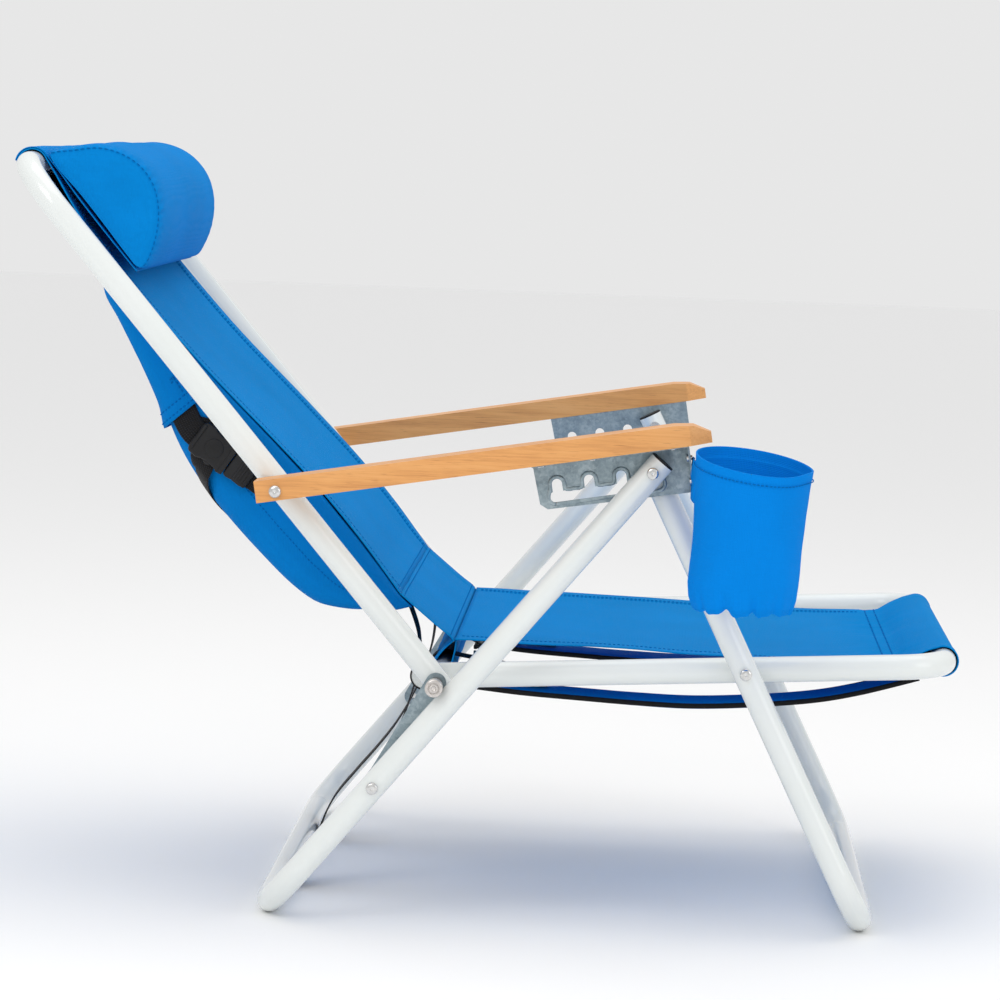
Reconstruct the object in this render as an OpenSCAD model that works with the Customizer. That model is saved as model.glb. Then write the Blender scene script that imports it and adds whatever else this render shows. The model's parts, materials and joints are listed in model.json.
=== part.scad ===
// Folding beach chair with a sling seat, wooden armrests and a four-step recline.
// X points forward, Y to the sitter's left, Z up. The origin is on the floor,
// on the chair's middle plane, straight below the axis of the backrest hinge.

/* [Tubes] */
// Outside diameter of every frame tube
tube_d = 22; // [20:0.5:24]
// Wall thickness of the frame tubes
wall = 1.2; // [0.8:0.1:2]
// Bend radius of the frame corners, at the tube's middle
bend_r = 50; // [40:1:60]
// Radius of the two bends at the front of the seat, to the middle of the tube
seat_bend_r = 38; // [34:1:38]

/* [Width] */
// Middle plane to the middle of a seat tube
seat_y = 247; // [245:1:247]
// Middle plane to the middle of a backrest or front leg tube
back_y = 271; // [271:1:272]
// Middle plane to the notched bracket plate
plate_y = 285; // [285:0.1:285.2]
// Middle plane to the middle of a rear leg tube
rear_y = 299; // [299:1:300]
// Half the width of the sling
sling_y = 210; // [190:1:212]

/* [Side view] */
// Height of the hinge between the seat and the backrest
hinge_z = 209; // [200:1:215]
// Rise of the seat towards the front, in degrees
seat_rise = 3.4; // [3:0.1:4]
// Hinge to the front bar of the seat, along the seat
seat_len = 437; // [430:1:450]
// Hinge to the front leg rivet, forwards
knee_x = 264; // [262:1:266]
// Hinge to the pivot at the top of the legs, forwards
top_x = 178; // [176:1:180]
// Hinge to the pivot at the top of the legs, upwards
top_z = 189; // [187:1:190]
// Hinge to the link rivet on the rear leg, backwards
link_x = 50; // [49:1:51]
// Hinge to the link rivet on the rear leg, downwards
link_z = 89; // [88:1:90]
// Hinge to the armrest rivet, along the backrest
arm_on_back = 214; // [212:1:216]
// Hinge to the top bar of the backrest
back_len = 566; // [540:1:580]
// Lean of the backrest, as an angle from straight ahead
back_angle = 130.8; // [130:0.1:131]
// Rise of the armrest towards the front, in degrees
arm_rise = 9.8; // [9.5:0.1:10]

/* [Armrest and bracket] */
// Width of the wooden armrest
arm_w = 38; // [34:1:44]
// Thickness of the wooden armrest
arm_t = 18.5; // [16:0.5:18.5]
// Length of the wooden armrest
arm_len = 388; // [380:1:400]
// Distance between two recline notches
notch_pitch = 27.5; // [26:0.5:28]
// Radius of a recline notch
notch_r = 4.4; // [4.2:0.1:4.6]
// Thickness of the bracket's sheet steel
sheet = 1.6; // [1.2:0.1:1.6]

/* [Soft goods] */
// Thickness of the sling's fabric
cloth = 2; // [1:0.5:2.5]
// Radius of the cup bag at its rim
cup_r = 51; // [44:1:52]
// Depth of the cup bag
cup_h = 124; // [110:1:128]
// Half the width of the head pillow
pillow_y = 215; // [180:1:216]
// Half the width of the storage pouch
pouch_y = 168; // [150:1:170]

/* [Hidden] */
$fn = 48;
tube_r = tube_d / 2;
floor_gap = tube_r;
// the pivots, as points in the side view
hinge = [0, hinge_z];
knee = [knee_x, hinge_z + 18];
top = [top_x, hinge_z + top_z];
link_end = [-link_x, hinge_z - link_z];
back_dir = [cos(back_angle), sin(back_angle)];
arm_at = hinge + arm_on_back * back_dir;
seat_at = [0, hinge_z + 2];
front_angle = atan2(knee[1] - top[1], knee[0] - top[0]);
rear_angle = atan2(link_end[1] - top[1], link_end[0] - top[0]);
// the legs run from the top pivot until their bar rests on the floor
front_len = (top[1] - floor_gap) / -sin(front_angle);
rear_len = (top[1] - floor_gap) / -sin(rear_angle);
knee_on_front = norm(knee - top);
link_on_rear = norm(link_end - top);
link_len = norm(link_end - hinge);
link_angle = atan2(link_end[1] - hinge[1], link_end[0] - hinge[0]);
// the armrest's own frame: along the board, and up from its rivet
board_low = -7.9;
board_back = -17;
arm_in = back_y + tube_r + 1.5;
arm_mid = arm_in + arm_w / 2;
pin_along = 318;
pin_down = -27.5;
slot_down = -38.7;
slot_half = 4.9;
plate_back = 217;
plate_front = 351;
plate_low = -48;
// fasteners: rivets, pins and the hinge bolt
rivet_r = 3;
pin_r = 4;
play = 0.05;
head_r = 5.2;
head_h = 2.4;
spacer_r = 5.5;
bolt_head_r = 7.5;
bolt_head_h = 9;
// how far the tubes run past their end pivots, and the flat stretch of the seat tubes
leg_top = 11.6;
end_len = 12;
tab_len = 26;
tab_t = 4;
plug_t = 1.6;
crossbar_r = 9;
// side outline of the sling, along the backrest and out from its tubes
back_line = [[160, 21], [192, 17.5], [300, 8], [430, 1], [556, 0]];
// side outline of the sling, along the seat and up from its tubes
seat_line = [[14, 25.5], [60, 23.5], [138, 17], [230, 7], [330, 1.5], [427, 0]];
pouch_line = [[68, -12], [112, -52], [145, -63], [188, -67], [250, -67], [316, -56],
    [380, -39], [445, -26], [456, -12], [430, -4], [300, 3], [192, 12], [112, 5]];
strap_y = 150;
strap_w = 56;
tie_y = 125;
tie_w = 38;
buckle_len = 62;
buckle_w = 30;
buckle_t = 9;
buckle_tilt = 14.7;
pillow_at = [504, 13];
pillow_r = 60;
// middle of the cup bag from above, and the height of its rim
cup_at = [261, -(plate_y + 55.5)];
cup_top = hinge_z + 207;

// ---- helpers ----

// Places a part drawn in the side view, with local X along the given angle
module at(p, angle) {
    translate([p[0], 0, p[1]])
        rotate([0, -angle, 0])
            children();
}

// The same part on both sides of the chair
module both_sides() {
    children();
    mirror([0, 1, 0])
        children();
}

// A round bar across the chair, from y0 outwards for a length, at a point of the side view
module peg(p, y0, len, r) {
    translate([p[0], y0, p[1]])
        rotate([-90, 0, 0])
            cylinder(r = r, h = len);
}

// One solid U of tube: two arms from start to len, joined by a bar across the end
module u_solid(start, len, half, r, corner) {
    for (side = [-1, 1])
        translate([start, side * half, 0])
            rotate([0, 90, 0])
                cylinder(r = r, h = len - corner - start);
    translate([len, -(half - corner), 0])
        rotate([-90, 0, 0])
            cylinder(r = r, h = 2 * (half - corner));
    for (side = [0, 1])
        mirror([0, side, 0])
            translate([len - corner, half - corner, 0])
                rotate_extrude(angle = 90)
                    translate([corner, 0])
                        circle(r = r);
}

// A hollow U of tube with holes for the fasteners at the given distances
module u_tube(start, len, half, corner, holes, hole_r) {
    difference() {
        u_solid(start, len, half, tube_r, corner);
        u_solid(start - 1, len, half, tube_r - wall, corner);
        for (d = holes)
            translate([d, -400, 0])
                rotate([-90, 0, 0])
                    cylinder(r = hole_r, h = 800);
    }
}

// A cap that closes a tube end, with its stem inside the tube
module end_plug() {
    rotate([0, -90, 0])
        cylinder(r = tube_r - 0.2, h = plug_t);
    rotate([0, 90, 0])
        cylinder(r = tube_r - wall - 0.2, h = 5);
}

// A strip of even thickness along a list of side-view points
module strip(points, t) {
    n = len(points);
    polygon(concat(points, [for (i = [n - 1:-1:0]) points[i] + [0, t]]));
}

// Turns a side-view outline into a solid across the chair between y0 and y1
module across(y0, y1) {
    translate([0, y1, 0])
        rotate([90, 0, 0])
            linear_extrude(height = y1 - y0)
                children();
}

// A ring of fabric round a bar, in the side view
module loop(r) {
    difference() {
        circle(r = r + 0.4 + cloth);
        circle(r = r + 0.4);
    }
}

// ---- seat ----

module seat_frame() color("white") {
    difference() {
        union() {
            at(seat_at, seat_rise)
                u_tube(tab_len, seat_len, seat_y, seat_bend_r, [], rivet_r);
            // the flattened rear ends, which close the tubes
            both_sides()
                at(seat_at, seat_rise) {
                    across(seat_y - tab_t / 2, seat_y + tab_t / 2) {
                        translate([-end_len, -tube_r])
                            square([end_len + tab_len, tube_d]);
                        translate([-end_len, 0])
                            circle(r = tube_r);
                    }
                    translate([tab_len - 2, seat_y, 0])
                        rotate([0, 90, 0])
                            cylinder(r = tube_r, h = 2);
                }
        }
        peg(hinge, -400, 800, pin_r + play);
        peg(knee, -400, 800, rivet_r + play);
    }
}

module seat_crossbar() color("white")
    difference() {
        peg(hinge, -(seat_y - tab_t / 2), 2 * (seat_y - tab_t / 2), crossbar_r);
        peg(hinge, -(seat_y - tab_t / 2) - 1, 2 * (seat_y + 2), crossbar_r - wall);
    }

module seat_end_plugs() color("#202020")
    both_sides()
        at(seat_at, seat_rise)
            across(seat_y - tab_t / 2 - 0.6, seat_y + tab_t / 2 + 0.6)
                translate([-end_len, 0])
                    difference() {
                        circle(r = tube_r + 1.4);
                        circle(r = tube_r + 0.1);
                        translate([0, -tube_d])
                            square([tube_d, 2 * tube_d]);
                    }

module seat_sling() color("#0a7dd0")
    across(-sling_y, sling_y) {
        translate(seat_at)
            rotate(seat_rise)
                union() {
                    difference() {
                        strip(seat_line, cloth);
                        translate([seat_len, 0])
                            circle(r = tube_r + 0.4);
                    }
                    translate([seat_len, 0])
                        loop(tube_r);
                }
        // the sleeve that hangs from the bend of the sling and holds the crossbar
        translate(hinge)
            union() {
                loop(crossbar_r);
                translate([crossbar_r, 5])
                    square([cloth, 22]);
                polygon([[9, 25], [18, 27.5], [18, 30], [9, 28]]);
            }
    }

module front_leg_rivets() color("silver")
    both_sides() {
        peg(knee, seat_y - tube_r - head_h, back_y - seat_y + tube_d + 2 * head_h, rivet_r);
        peg(knee, seat_y - tube_r - head_h, head_h, head_r);
        peg(knee, back_y + tube_r, head_h, head_r);
        peg(knee, seat_y + tube_r, back_y - seat_y - tube_d, 7);
    }

module shoulder_strap(side) color("#0a6fc0")
    across(side * strap_y - strap_w / 2, side * strap_y + strap_w / 2)
        translate(hinge)
            polygon([[28, -19], [120, -26], [219, -29], [330, -19], [392, -3], [420, 6],
                [418, 10], [388, 4], [328, -11], [219, -21], [120, -18], [28, -12]]);

module shoulder_strap_right() shoulder_strap(-1);
module shoulder_strap_left() shoulder_strap(1);

module strap_adjusters() color("#202020")
    both_sides()
        across(strap_y - 17, strap_y + 17)
            translate(hinge)
                difference() {
                    translate([14, -23])
                        square([13.5, 9]);
                    translate([17, -20.5])
                        square([4, 4]);
                }

// ---- hinge ----

module hinge_bolts() color("silver")
    both_sides()
        difference() {
            union() {
                peg(hinge, seat_y - 14, back_y + 2 * tube_r + 18.8 - seat_y + 14, pin_r);
                peg(hinge, back_y + tube_r + 28.8, bolt_head_h, bolt_head_r);
            }
            translate([hinge[0], back_y + tube_r + 28.8 + bolt_head_h - 5, hinge[1]])
                rotate([-90, 0, 0])
                    cylinder(r = 3.4, h = 6, $fn = 6);
        }

module ring(p, y0, len, r, hole) {
    difference() {
        peg(p, y0, len, r);
        peg(p, y0 - 1, len + 2, hole);
    }
}

module hinge_spacers() color("#8a9090")
    both_sides()
        ring(hinge, back_y + tube_r + 5.2, 23.6, spacer_r, pin_r + play);

module hinge_nuts() color("silver")
    both_sides()
        ring(hinge, seat_y - 13, 7, 6.6, pin_r + play);

module hinge_washers() color("silver")
    both_sides()
        ring(hinge, seat_y + 2.2, back_y - seat_y - tube_r - 2.4, 7, pin_r + play);

// ---- backrest ----

module backrest_frame() color("white")
    difference() {
        at(hinge, back_angle)
            u_tube(-end_len, back_len, back_y, bend_r, [arm_on_back], rivet_r + play);
        peg(hinge, -400, 800, pin_r + play);
    }

module backrest_plugs() color("#202020")
    both_sides()
        at(hinge, back_angle)
            translate([-end_len, back_y, 0])
                end_plug();

module back_sling() color("#0a7dd0")
    across(-sling_y, sling_y)
        translate(hinge)
            rotate(back_angle)
                mirror([0, 1])
                    union() {
                        difference() {
                            strip(back_line, cloth);
                            translate([back_len, 0])
                                circle(r = tube_r + 0.4);
                        }
                        translate([back_len, 0])
                            loop(tube_r);
                    }

module storage_pouch() color("#0864b4")
    across(-pouch_y, pouch_y)
        translate(hinge)
            rotate(back_angle)
                mirror([0, 1])
                    polygon(pouch_line);

// Places a part on a side of the pouch: X down along the backrest, Y outwards
module on_pouch_side(side) {
    mirror([0, side < 0 ? 1 : 0, 0])
        at(hinge, back_angle)
            translate([295, pouch_y + 1, 41])
                rotate([0, 180 - buckle_tilt, 0])
                    children();
}

module pouch_webbing() color("#202020")
    for (side = [-1, 1])
        on_pouch_side(side) {
            translate([-24, 2, -12])
                cube([24, 1.8, 24]);
            translate([buckle_len + 26, 2, -12])
                cube([20, 1.8, 24]);
        }

module buckle_socket(side) color("#181818")
    on_pouch_side(side)
        difference() {
            translate([0, 0, -buckle_w / 2])
                cube([38, buckle_t, buckle_w]);
            translate([8, 1.5, -12])
                cube([40, buckle_t - 3, 24]);
        }

module buckle_tongue(side) color("#181818")
    on_pouch_side(side) {
        translate([38.5, 0, -buckle_w / 2])
            cube([buckle_len - 38.5, buckle_t, buckle_w]);
        for (z = [-10.5, 5.5])
            translate([12, 2.5, z])
                cube([27, buckle_t - 5, 5]);
        translate([12, 3, -1.5])
            cube([27, buckle_t - 6, 3]);
    }

module buckle_socket_right() buckle_socket(-1);
module buckle_socket_left() buckle_socket(1);
module buckle_tongue_right() buckle_tongue(-1);
module buckle_tongue_left() buckle_tongue(1);

module head_pillow() color("#0a7dd0")
    across(-pillow_y, pillow_y)
        translate(hinge)
            rotate(back_angle)
                mirror([0, 1])
                    difference() {
                        intersection() {
                            translate(pillow_at)
                                circle(r = pillow_r);
                            translate([pillow_at[0] - 100, 15])
                                square([200, 120]);
                        }
                        translate([back_len, 0])
                            circle(r = tube_r + 0.4 + cloth + 0.8);
                    }

// ---- armrests ----

module armrest_rivets() color("silver")
    both_sides() {
        peg(arm_at, back_y - tube_r - head_h, arm_w + tube_d + 1.5 + 2 * head_h, rivet_r);
        peg(arm_at, back_y - tube_r - head_h, head_h, head_r);
        peg(arm_at, arm_in + arm_w, head_h, head_r);
        peg(arm_at, back_y + tube_r, 1.5, 7);
    }

module armrest(side) color("#f0a25a")
    mirror([0, side < 0 ? 1 : 0, 0])
        difference() {
            at(arm_at, arm_rise)
                intersection() {
                    across(arm_in, arm_in + arm_w)
                        polygon([[board_back, board_low], [board_back + arm_len, board_low],
                            [board_back + arm_len, board_low + 9],
                            [board_back + arm_len - 14, board_low + arm_t - 2],
                            [board_back + arm_len - 30, board_low + arm_t],
                            [board_back, board_low + arm_t]]);
                    translate([0, 0, -40])
                        linear_extrude(height = 80)
                            polygon([[board_back, arm_in], [board_back + arm_len - 18, arm_in],
                                [board_back + arm_len, arm_in + 12],
                                [board_back + arm_len, arm_in + arm_w - 12],
                                [board_back + arm_len - 18, arm_in + arm_w],
                                [board_back, arm_in + arm_w]]);
                }
            peg(arm_at, 0, 400, rivet_r + play);
        }

module armrest_right() armrest(-1);
module armrest_left() armrest(1);

// The notched slot, in the bracket's plane, widened by grow on every side
module slot_outline(grow) {
    first = pin_along - 3 * notch_pitch;
    for (k = [0:3])
        translate([first + k * notch_pitch, 0]) {
            translate([0, pin_down])
                circle(r = notch_r + grow);
            translate([-notch_r - grow, slot_down])
                square([2 * (notch_r + grow), pin_down - slot_down]);
        }
    translate([first - 3, slot_down - slot_half - grow])
        square([3 * notch_pitch + 6, 2 * (slot_half + grow)]);
    for (x = [first - 3, pin_along + 3])
        translate([x, slot_down])
            circle(r = slot_half + grow);
}

module bracket(side) color("#8b979c")
    mirror([0, side < 0 ? 1 : 0, 0])
        at(arm_at, arm_rise)
            difference() {
                union() {
                    across(plate_y - sheet / 2, plate_y + sheet / 2)
                        difference() {
                            polygon([[plate_back, board_low], [plate_front, board_low],
                                [plate_front, plate_low - 0.5], [plate_front - 4, plate_low - 1.5],
                                [plate_back + 8, plate_low], [plate_back + 2, plate_low + 5]]);
                            slot_outline(0);
                        }
                    // the pressed rim round the slot
                    across(plate_y - sheet / 2, plate_y + sheet / 2 + 0.7)
                        difference() {
                            intersection() {
                                slot_outline(3.2);
                                translate([plate_back, plate_low + 1.2])
                                    square([200, 40]);
                            }
                            slot_outline(0);
                        }
                    // the top flange, screwed under the armrest
                    translate([plate_back, plate_y - sheet / 2, board_low - 1.5])
                        cube([plate_front - plate_back, 27, 1.5]);
                    // the front flange, which carries the cup bag
                    translate([plate_front - sheet, plate_y - sheet / 2, plate_low])
                        cube([sheet, 25, board_low - plate_low - 1.5]);
                }
                for (x = [225, 269, 338])
                    translate([x, plate_y + 15, board_low - 5])
                        cylinder(r = 2.1, h = 10);
                for (z = [-19, -39.5])
                    translate([plate_front - 5, plate_y + 15, z])
                        rotate([0, 90, 0])
                            cylinder(r = 2.1, h = 10);
            }

module bracket_right() bracket(-1);
module bracket_left() bracket(1);

module bracket_screws(side) color("silver")
    mirror([0, side < 0 ? 1 : 0, 0])
        at(arm_at, arm_rise)
            for (x = [225, 269, 338])
                translate([x, plate_y + 15, board_low - 2.6])
                    cylinder(r = 3.6, h = 1.1);

module bracket_screws_right() bracket_screws(-1);
module bracket_screws_left() bracket_screws(1);

module cup_bag() color("#0a7dd0")
    translate([cup_at[0], cup_at[1], cup_top - cup_h])
        difference() {
            union() {
                cylinder(r1 = cup_r - 7, r2 = cup_r - 1, h = 26);
                translate([0, 0, 26])
                    cylinder(r1 = cup_r - 1, r2 = cup_r, h = cup_h - 26);
            }
            translate([0, 0, 3])
                cylinder(r1 = cup_r - 9, r2 = cup_r - 3, h = 24);
            translate([0, 0, 26.9])
                cylinder(r = cup_r - 3, h = cup_h);
        }

module cup_bag_rivets() color("silver")
    mirror([0, 1, 0])
        at(arm_at, arm_rise)
            for (z = [-19, -39.5])
                translate([plate_front - sheet - 1.8, plate_y + 15, z])
                    rotate([0, 90, 0])
                        union() {
                            cylinder(r = 3.4, h = 1.7);
                            cylinder(r = 2, h = 5);
                        }

// ---- legs ----

module front_leg_frame() color("white")
    difference() {
        at(top, front_angle)
            u_tube(-leg_top, front_len, back_y, bend_r, [knee_on_front], rivet_r + play);
        peg(top, -400, 800, pin_r + play);
    }

module leg_plugs(angle, y)
    both_sides()
        at(top, angle)
            translate([-leg_top, y, 0])
                end_plug();

module front_leg_plugs() color("#202020") leg_plugs(front_angle, back_y);
module rear_leg_plugs() color("#202020") leg_plugs(rear_angle, rear_y);

module pivot_pins_inner() color("silver")
    both_sides() {
        peg(top, back_y - tube_r - head_h, tube_d + head_h + 1, pin_r);
        peg(top, back_y - tube_r - head_h, head_h, head_r);
    }

module rear_leg_frame() color("white")
    difference() {
        at(top, rear_angle)
            u_tube(-leg_top, rear_len, rear_y, bend_r, [link_on_rear], rivet_r + play);
        peg(top, -400, 800, pin_r + play);
    }

module pivot_pins_outer() color("silver")
    both_sides() {
        peg(top, rear_y - tube_r - 0.8, tube_d + head_h + 0.8, pin_r);
        peg(top, rear_y + tube_r, head_h, head_r);
    }

module link_rivets() color("silver")
    both_sides() {
        peg(link_end, rear_y - tube_r - 0.6, tube_d + head_h + 0.6, rivet_r);
        peg(link_end, rear_y + tube_r, head_h, head_r);
    }

module tie_strap_loops() color("#202020")
    both_sides()
        across(tie_y - tie_w / 2, tie_y + tie_w / 2)
            translate(top + rear_len * [cos(rear_angle), sin(rear_angle)])
                difference() {
                    intersection() {
                        circle(r = tube_r + 2.4);
                        translate([-20, -tube_r])
                            square([40, 40]);
                    }
                    circle(r = tube_r + 0.3);
                }

module link(side) color("#808c90")
    mirror([0, side < 0 ? 1 : 0, 0])
        difference() {
            at(hinge, link_angle)
                across(plate_y - 1.5, plate_y + 1.5)
                    union() {
                        circle(r = 9);
                        translate([0, -9])
                            square([link_len, 18]);
                        translate([link_len, 0])
                            circle(r = 9);
                    }
            peg(hinge, 0, 400, pin_r + play);
            peg(link_end, 0, 400, rivet_r + play);
        }

module link_right() link(-1);
module link_left() link(1);

seat_frame();
seat_crossbar();
seat_sling();
front_leg_rivets();
seat_end_plugs();
shoulder_strap_right();
shoulder_strap_left();
strap_adjusters();
hinge_bolts();
hinge_spacers();
hinge_nuts();
hinge_washers();
backrest_frame();
back_sling();
storage_pouch();
pouch_webbing();
backrest_plugs();
buckle_socket_right();
buckle_socket_left();
buckle_tongue_right();
buckle_tongue_left();
head_pillow();
armrest_rivets();
armrest_right();
bracket_right();
bracket_screws_right();
cup_bag();
cup_bag_rivets();
armrest_left();
bracket_left();
bracket_screws_left();
front_leg_frame();
front_leg_plugs();
pivot_pins_inner();
rear_leg_frame();
rear_leg_plugs();
pivot_pins_outer();
link_rivets();
tie_strap_loops();
link_right();
link_left();
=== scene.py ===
"""The looks of a folding beach chair: soft goods, hardware details, materials, light and camera.

Metres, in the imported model's frame: +X forward, +Y to the sitter's left, +Z up. Points on the
backrest are given as s (up along its tubes from the hinge) and n (out of its front); points on the
seat as u (forwards from the hinge) and w (up from the tubes); points on an armrest as a (forwards
along the board from its rivet) and h (up from the rivet).
"""
import json
import math

import bmesh
import bpy
import numpy as np
from mathutils import Matrix, Vector, noise

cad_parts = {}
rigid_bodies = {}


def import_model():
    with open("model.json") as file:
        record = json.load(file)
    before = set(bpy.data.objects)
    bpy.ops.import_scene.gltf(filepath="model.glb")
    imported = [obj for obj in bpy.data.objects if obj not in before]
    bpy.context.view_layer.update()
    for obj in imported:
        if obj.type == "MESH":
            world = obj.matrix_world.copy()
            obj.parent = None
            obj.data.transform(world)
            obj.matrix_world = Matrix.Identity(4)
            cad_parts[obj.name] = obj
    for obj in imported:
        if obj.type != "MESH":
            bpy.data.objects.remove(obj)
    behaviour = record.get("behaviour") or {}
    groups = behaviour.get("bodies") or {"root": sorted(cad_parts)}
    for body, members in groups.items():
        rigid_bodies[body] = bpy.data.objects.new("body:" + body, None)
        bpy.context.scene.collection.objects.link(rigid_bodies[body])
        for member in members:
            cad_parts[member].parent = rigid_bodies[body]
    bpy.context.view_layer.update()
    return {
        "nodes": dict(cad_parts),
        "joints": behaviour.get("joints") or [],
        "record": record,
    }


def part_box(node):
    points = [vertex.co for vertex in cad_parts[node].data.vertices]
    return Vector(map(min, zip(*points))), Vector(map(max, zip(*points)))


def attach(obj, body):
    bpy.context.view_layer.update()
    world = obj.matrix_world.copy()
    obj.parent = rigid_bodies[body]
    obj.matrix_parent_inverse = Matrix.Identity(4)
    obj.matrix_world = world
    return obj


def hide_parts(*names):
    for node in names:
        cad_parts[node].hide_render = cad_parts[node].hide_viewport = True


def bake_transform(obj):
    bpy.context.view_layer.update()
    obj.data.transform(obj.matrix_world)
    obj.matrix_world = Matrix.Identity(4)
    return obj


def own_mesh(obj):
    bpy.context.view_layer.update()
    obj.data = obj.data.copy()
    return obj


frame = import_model()

# ---------------------------------------------------------------- places from the frame

JOINTS = {j["name"]: j for j in frame["joints"]}
MOUNTS = {m["name"]: m for m in frame["record"]["mounts"]}
TUBE_R = 0.011
HINGE = Vector(JOINTS["backrest_fold"]["pos_m"])
LEG_TOP = Vector(JOINTS["rear_legs_turn"]["pos_m"])
ARM_PIN = Vector(JOINTS["arm_right_turn"]["pos_m"])
TOP_BAR = Vector(JOINTS["pillow_lift"]["pos_m"])
BACK_S = (TOP_BAR - HINGE).normalized()
BACK_N = Vector((BACK_S.z, 0, -BACK_S.x))
ARM_H = Vector(MOUNTS["armrest_right_top"]["axis"])
ARM_A = Vector((ARM_H.z, 0, -ARM_H.x))
BUCKLE_A = Vector(JOINTS["buckle_right_slide"]["axis"])
BUCKLE_C = Vector((-BUCKLE_A.z, 0, BUCKLE_A.x))
SEAT_RISE = math.radians(3.4)
SEAT_U = Vector((math.cos(SEAT_RISE), 0, math.sin(SEAT_RISE)))
SEAT_W = Vector((-math.sin(SEAT_RISE), 0, math.cos(SEAT_RISE)))
SEAT_START = HINGE + Vector((0, 0, 0.002))
SLING_HALF = 0.21
UP = Vector((0, 0, 1))
FORWARD = Vector((1, 0, 0))
REAR_BAR = Vector((sum(corner.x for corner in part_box("tie_strap_loops")) / 2, 0, TUBE_R))
SIDES = ((-1, "right"), (1, "left"))
# widths and thicknesses of the webbing
TIE_WEB = (0.038, 0.0016)
POUCH_WEB = (0.024, 0.0016)
CARRY_WEB = (0.025, 0.0017)


def across(y):
    """A move across the chair, from millimetres."""
    return Vector((0, y / 1000, 0))


def back(s, n, y=0.0):
    """A point on the backrest, from millimetres."""
    return HINGE + BACK_S * (s / 1000) + BACK_N * (n / 1000) + across(y)


def seat(u, w, y=0.0):
    """A point on the seat, from millimetres."""
    return SEAT_START + SEAT_U * (u / 1000) + SEAT_W * (w / 1000) + across(y)


def near_hinge(x, z, y=0.0):
    """A point given forwards and upwards of the hinge, from millimetres."""
    return HINGE + Vector((x / 1000, y / 1000, z / 1000))


def on_arm(a, h, y):
    """A point on an armrest, from millimetres."""
    return Vector((ARM_PIN.x, 0, ARM_PIN.z)) + ARM_A * (a / 1000) + ARM_H * (h / 1000) + across(y)


# ---------------------------------------------------------------- materials

def new_material(name, roughness=0.6, metallic=0.0, **sockets):
    """A material with its shader's fixed values set; returns it, its tree and its shader."""
    material = bpy.data.materials.new(name)
    material.use_nodes = True
    tree = material.node_tree
    shader = tree.nodes["Principled BSDF"]
    shader.inputs["Roughness"].default_value = roughness
    shader.inputs["Metallic"].default_value = metallic
    for key, value in sockets.items():
        shader.inputs[key.replace("_", " ")].default_value = value
    return material, tree, shader


def add(tree, kind, **settings):
    """Adds a node; settings name its attributes, or its inputs where it has no such attribute."""
    node = tree.nodes.new(kind)
    for key, value in settings.items():
        if hasattr(node, key):
            setattr(node, key, value)
        else:
            node.inputs[key.replace("_", " ")].default_value = value
    return node


def coordinates(tree, scale, kind="Object", turn=(0, 0, 0)):
    """Texture coordinates in metres times a scale, one for all axes or one for each, turned first."""
    source = add(tree, "ShaderNodeTexCoord")
    mapping = add(tree, "ShaderNodeMapping")
    mapping.inputs["Rotation"].default_value = turn
    mapping.inputs["Scale"].default_value = scale if isinstance(scale, tuple) else (scale,) * 3
    tree.links.new(source.outputs[kind], mapping.inputs["Vector"])
    return mapping.outputs["Vector"]


def ramp(tree, source, stops):
    """Colours a value; stops are (position, colour or grey)."""
    node = add(tree, "ShaderNodeValToRGB")
    elements = node.color_ramp.elements
    while len(elements) < len(stops):
        elements.new(0.5)
    for element, (position, colour) in zip(elements, stops):
        element.position = position
        element.color = (*colour, 1) if isinstance(colour, tuple) else (colour, colour, colour, 1)
    tree.links.new(source, node.inputs["Fac"])
    return node.outputs["Color"]


def noise_value(tree, scale, detail=4.0, rough=0.55, kind="Object", turn=(0, 0, 0)):
    """Fractal noise; scale is how many cells there are to a metre."""
    node = add(tree, "ShaderNodeTexNoise", Scale=1.0, Detail=detail, Roughness=rough)
    tree.links.new(coordinates(tree, scale, kind, turn), node.inputs["Vector"])
    return node.outputs["Fac"]


def wave_value(tree, vector, scale, direction, distortion=0.0):
    """Bands across one direction of a vector."""
    node = add(tree, "ShaderNodeTexWave", Scale=scale, Distortion=distortion)
    node.bands_direction = direction
    tree.links.new(vector, node.inputs["Vector"])
    return node.outputs["Fac"]


def combine(tree, kind, a, b):
    """One Math node of two values."""
    node = add(tree, "ShaderNodeMath", operation=kind)
    for value, socket in ((a, node.inputs[0]), (b, node.inputs[1])):
        if isinstance(value, (int, float)):
            socket.default_value = value
        else:
            tree.links.new(value, socket)
    return node.outputs[0]


def blended(tree, *parts):
    """The sum of (value, weight) pairs."""
    weighted = [value if weight == 1 else combine(tree, "MULTIPLY", value, weight) for value, weight in parts]
    total = weighted[0]
    for value in weighted[1:]:
        total = combine(tree, "ADD", total, value)
    return total


def mix_colours(tree, kind, factor, a, b):
    """Mixes colour b into colour a by a fixed factor."""
    node = add(tree, "ShaderNodeMix", data_type="RGBA", blend_type=kind)
    sockets = {s.name + s.type: s for s in node.inputs}
    sockets["FactorVALUE"].default_value = factor
    tree.links.new(a, sockets["ARGBA"])
    tree.links.new(b, sockets["BRGBA"])
    return [s for s in node.outputs if s.type == "RGBA"][0]


def finish(tree, shader, colour, rough, height, strength, distance):
    """Links a colour, a roughness (or none) and a bump height to the shader."""
    tree.links.new(colour, shader.inputs["Base Color"])
    if rough:
        tree.links.new(rough, shader.inputs["Roughness"])
    node = add(tree, "ShaderNodeBump", Strength=strength, Distance=distance)
    tree.links.new(height, node.inputs["Height"])
    tree.links.new(node.outputs["Normal"], shader.inputs["Normal"])


def scaled(colour, by):
    return tuple(c * by for c in colour)


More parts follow.
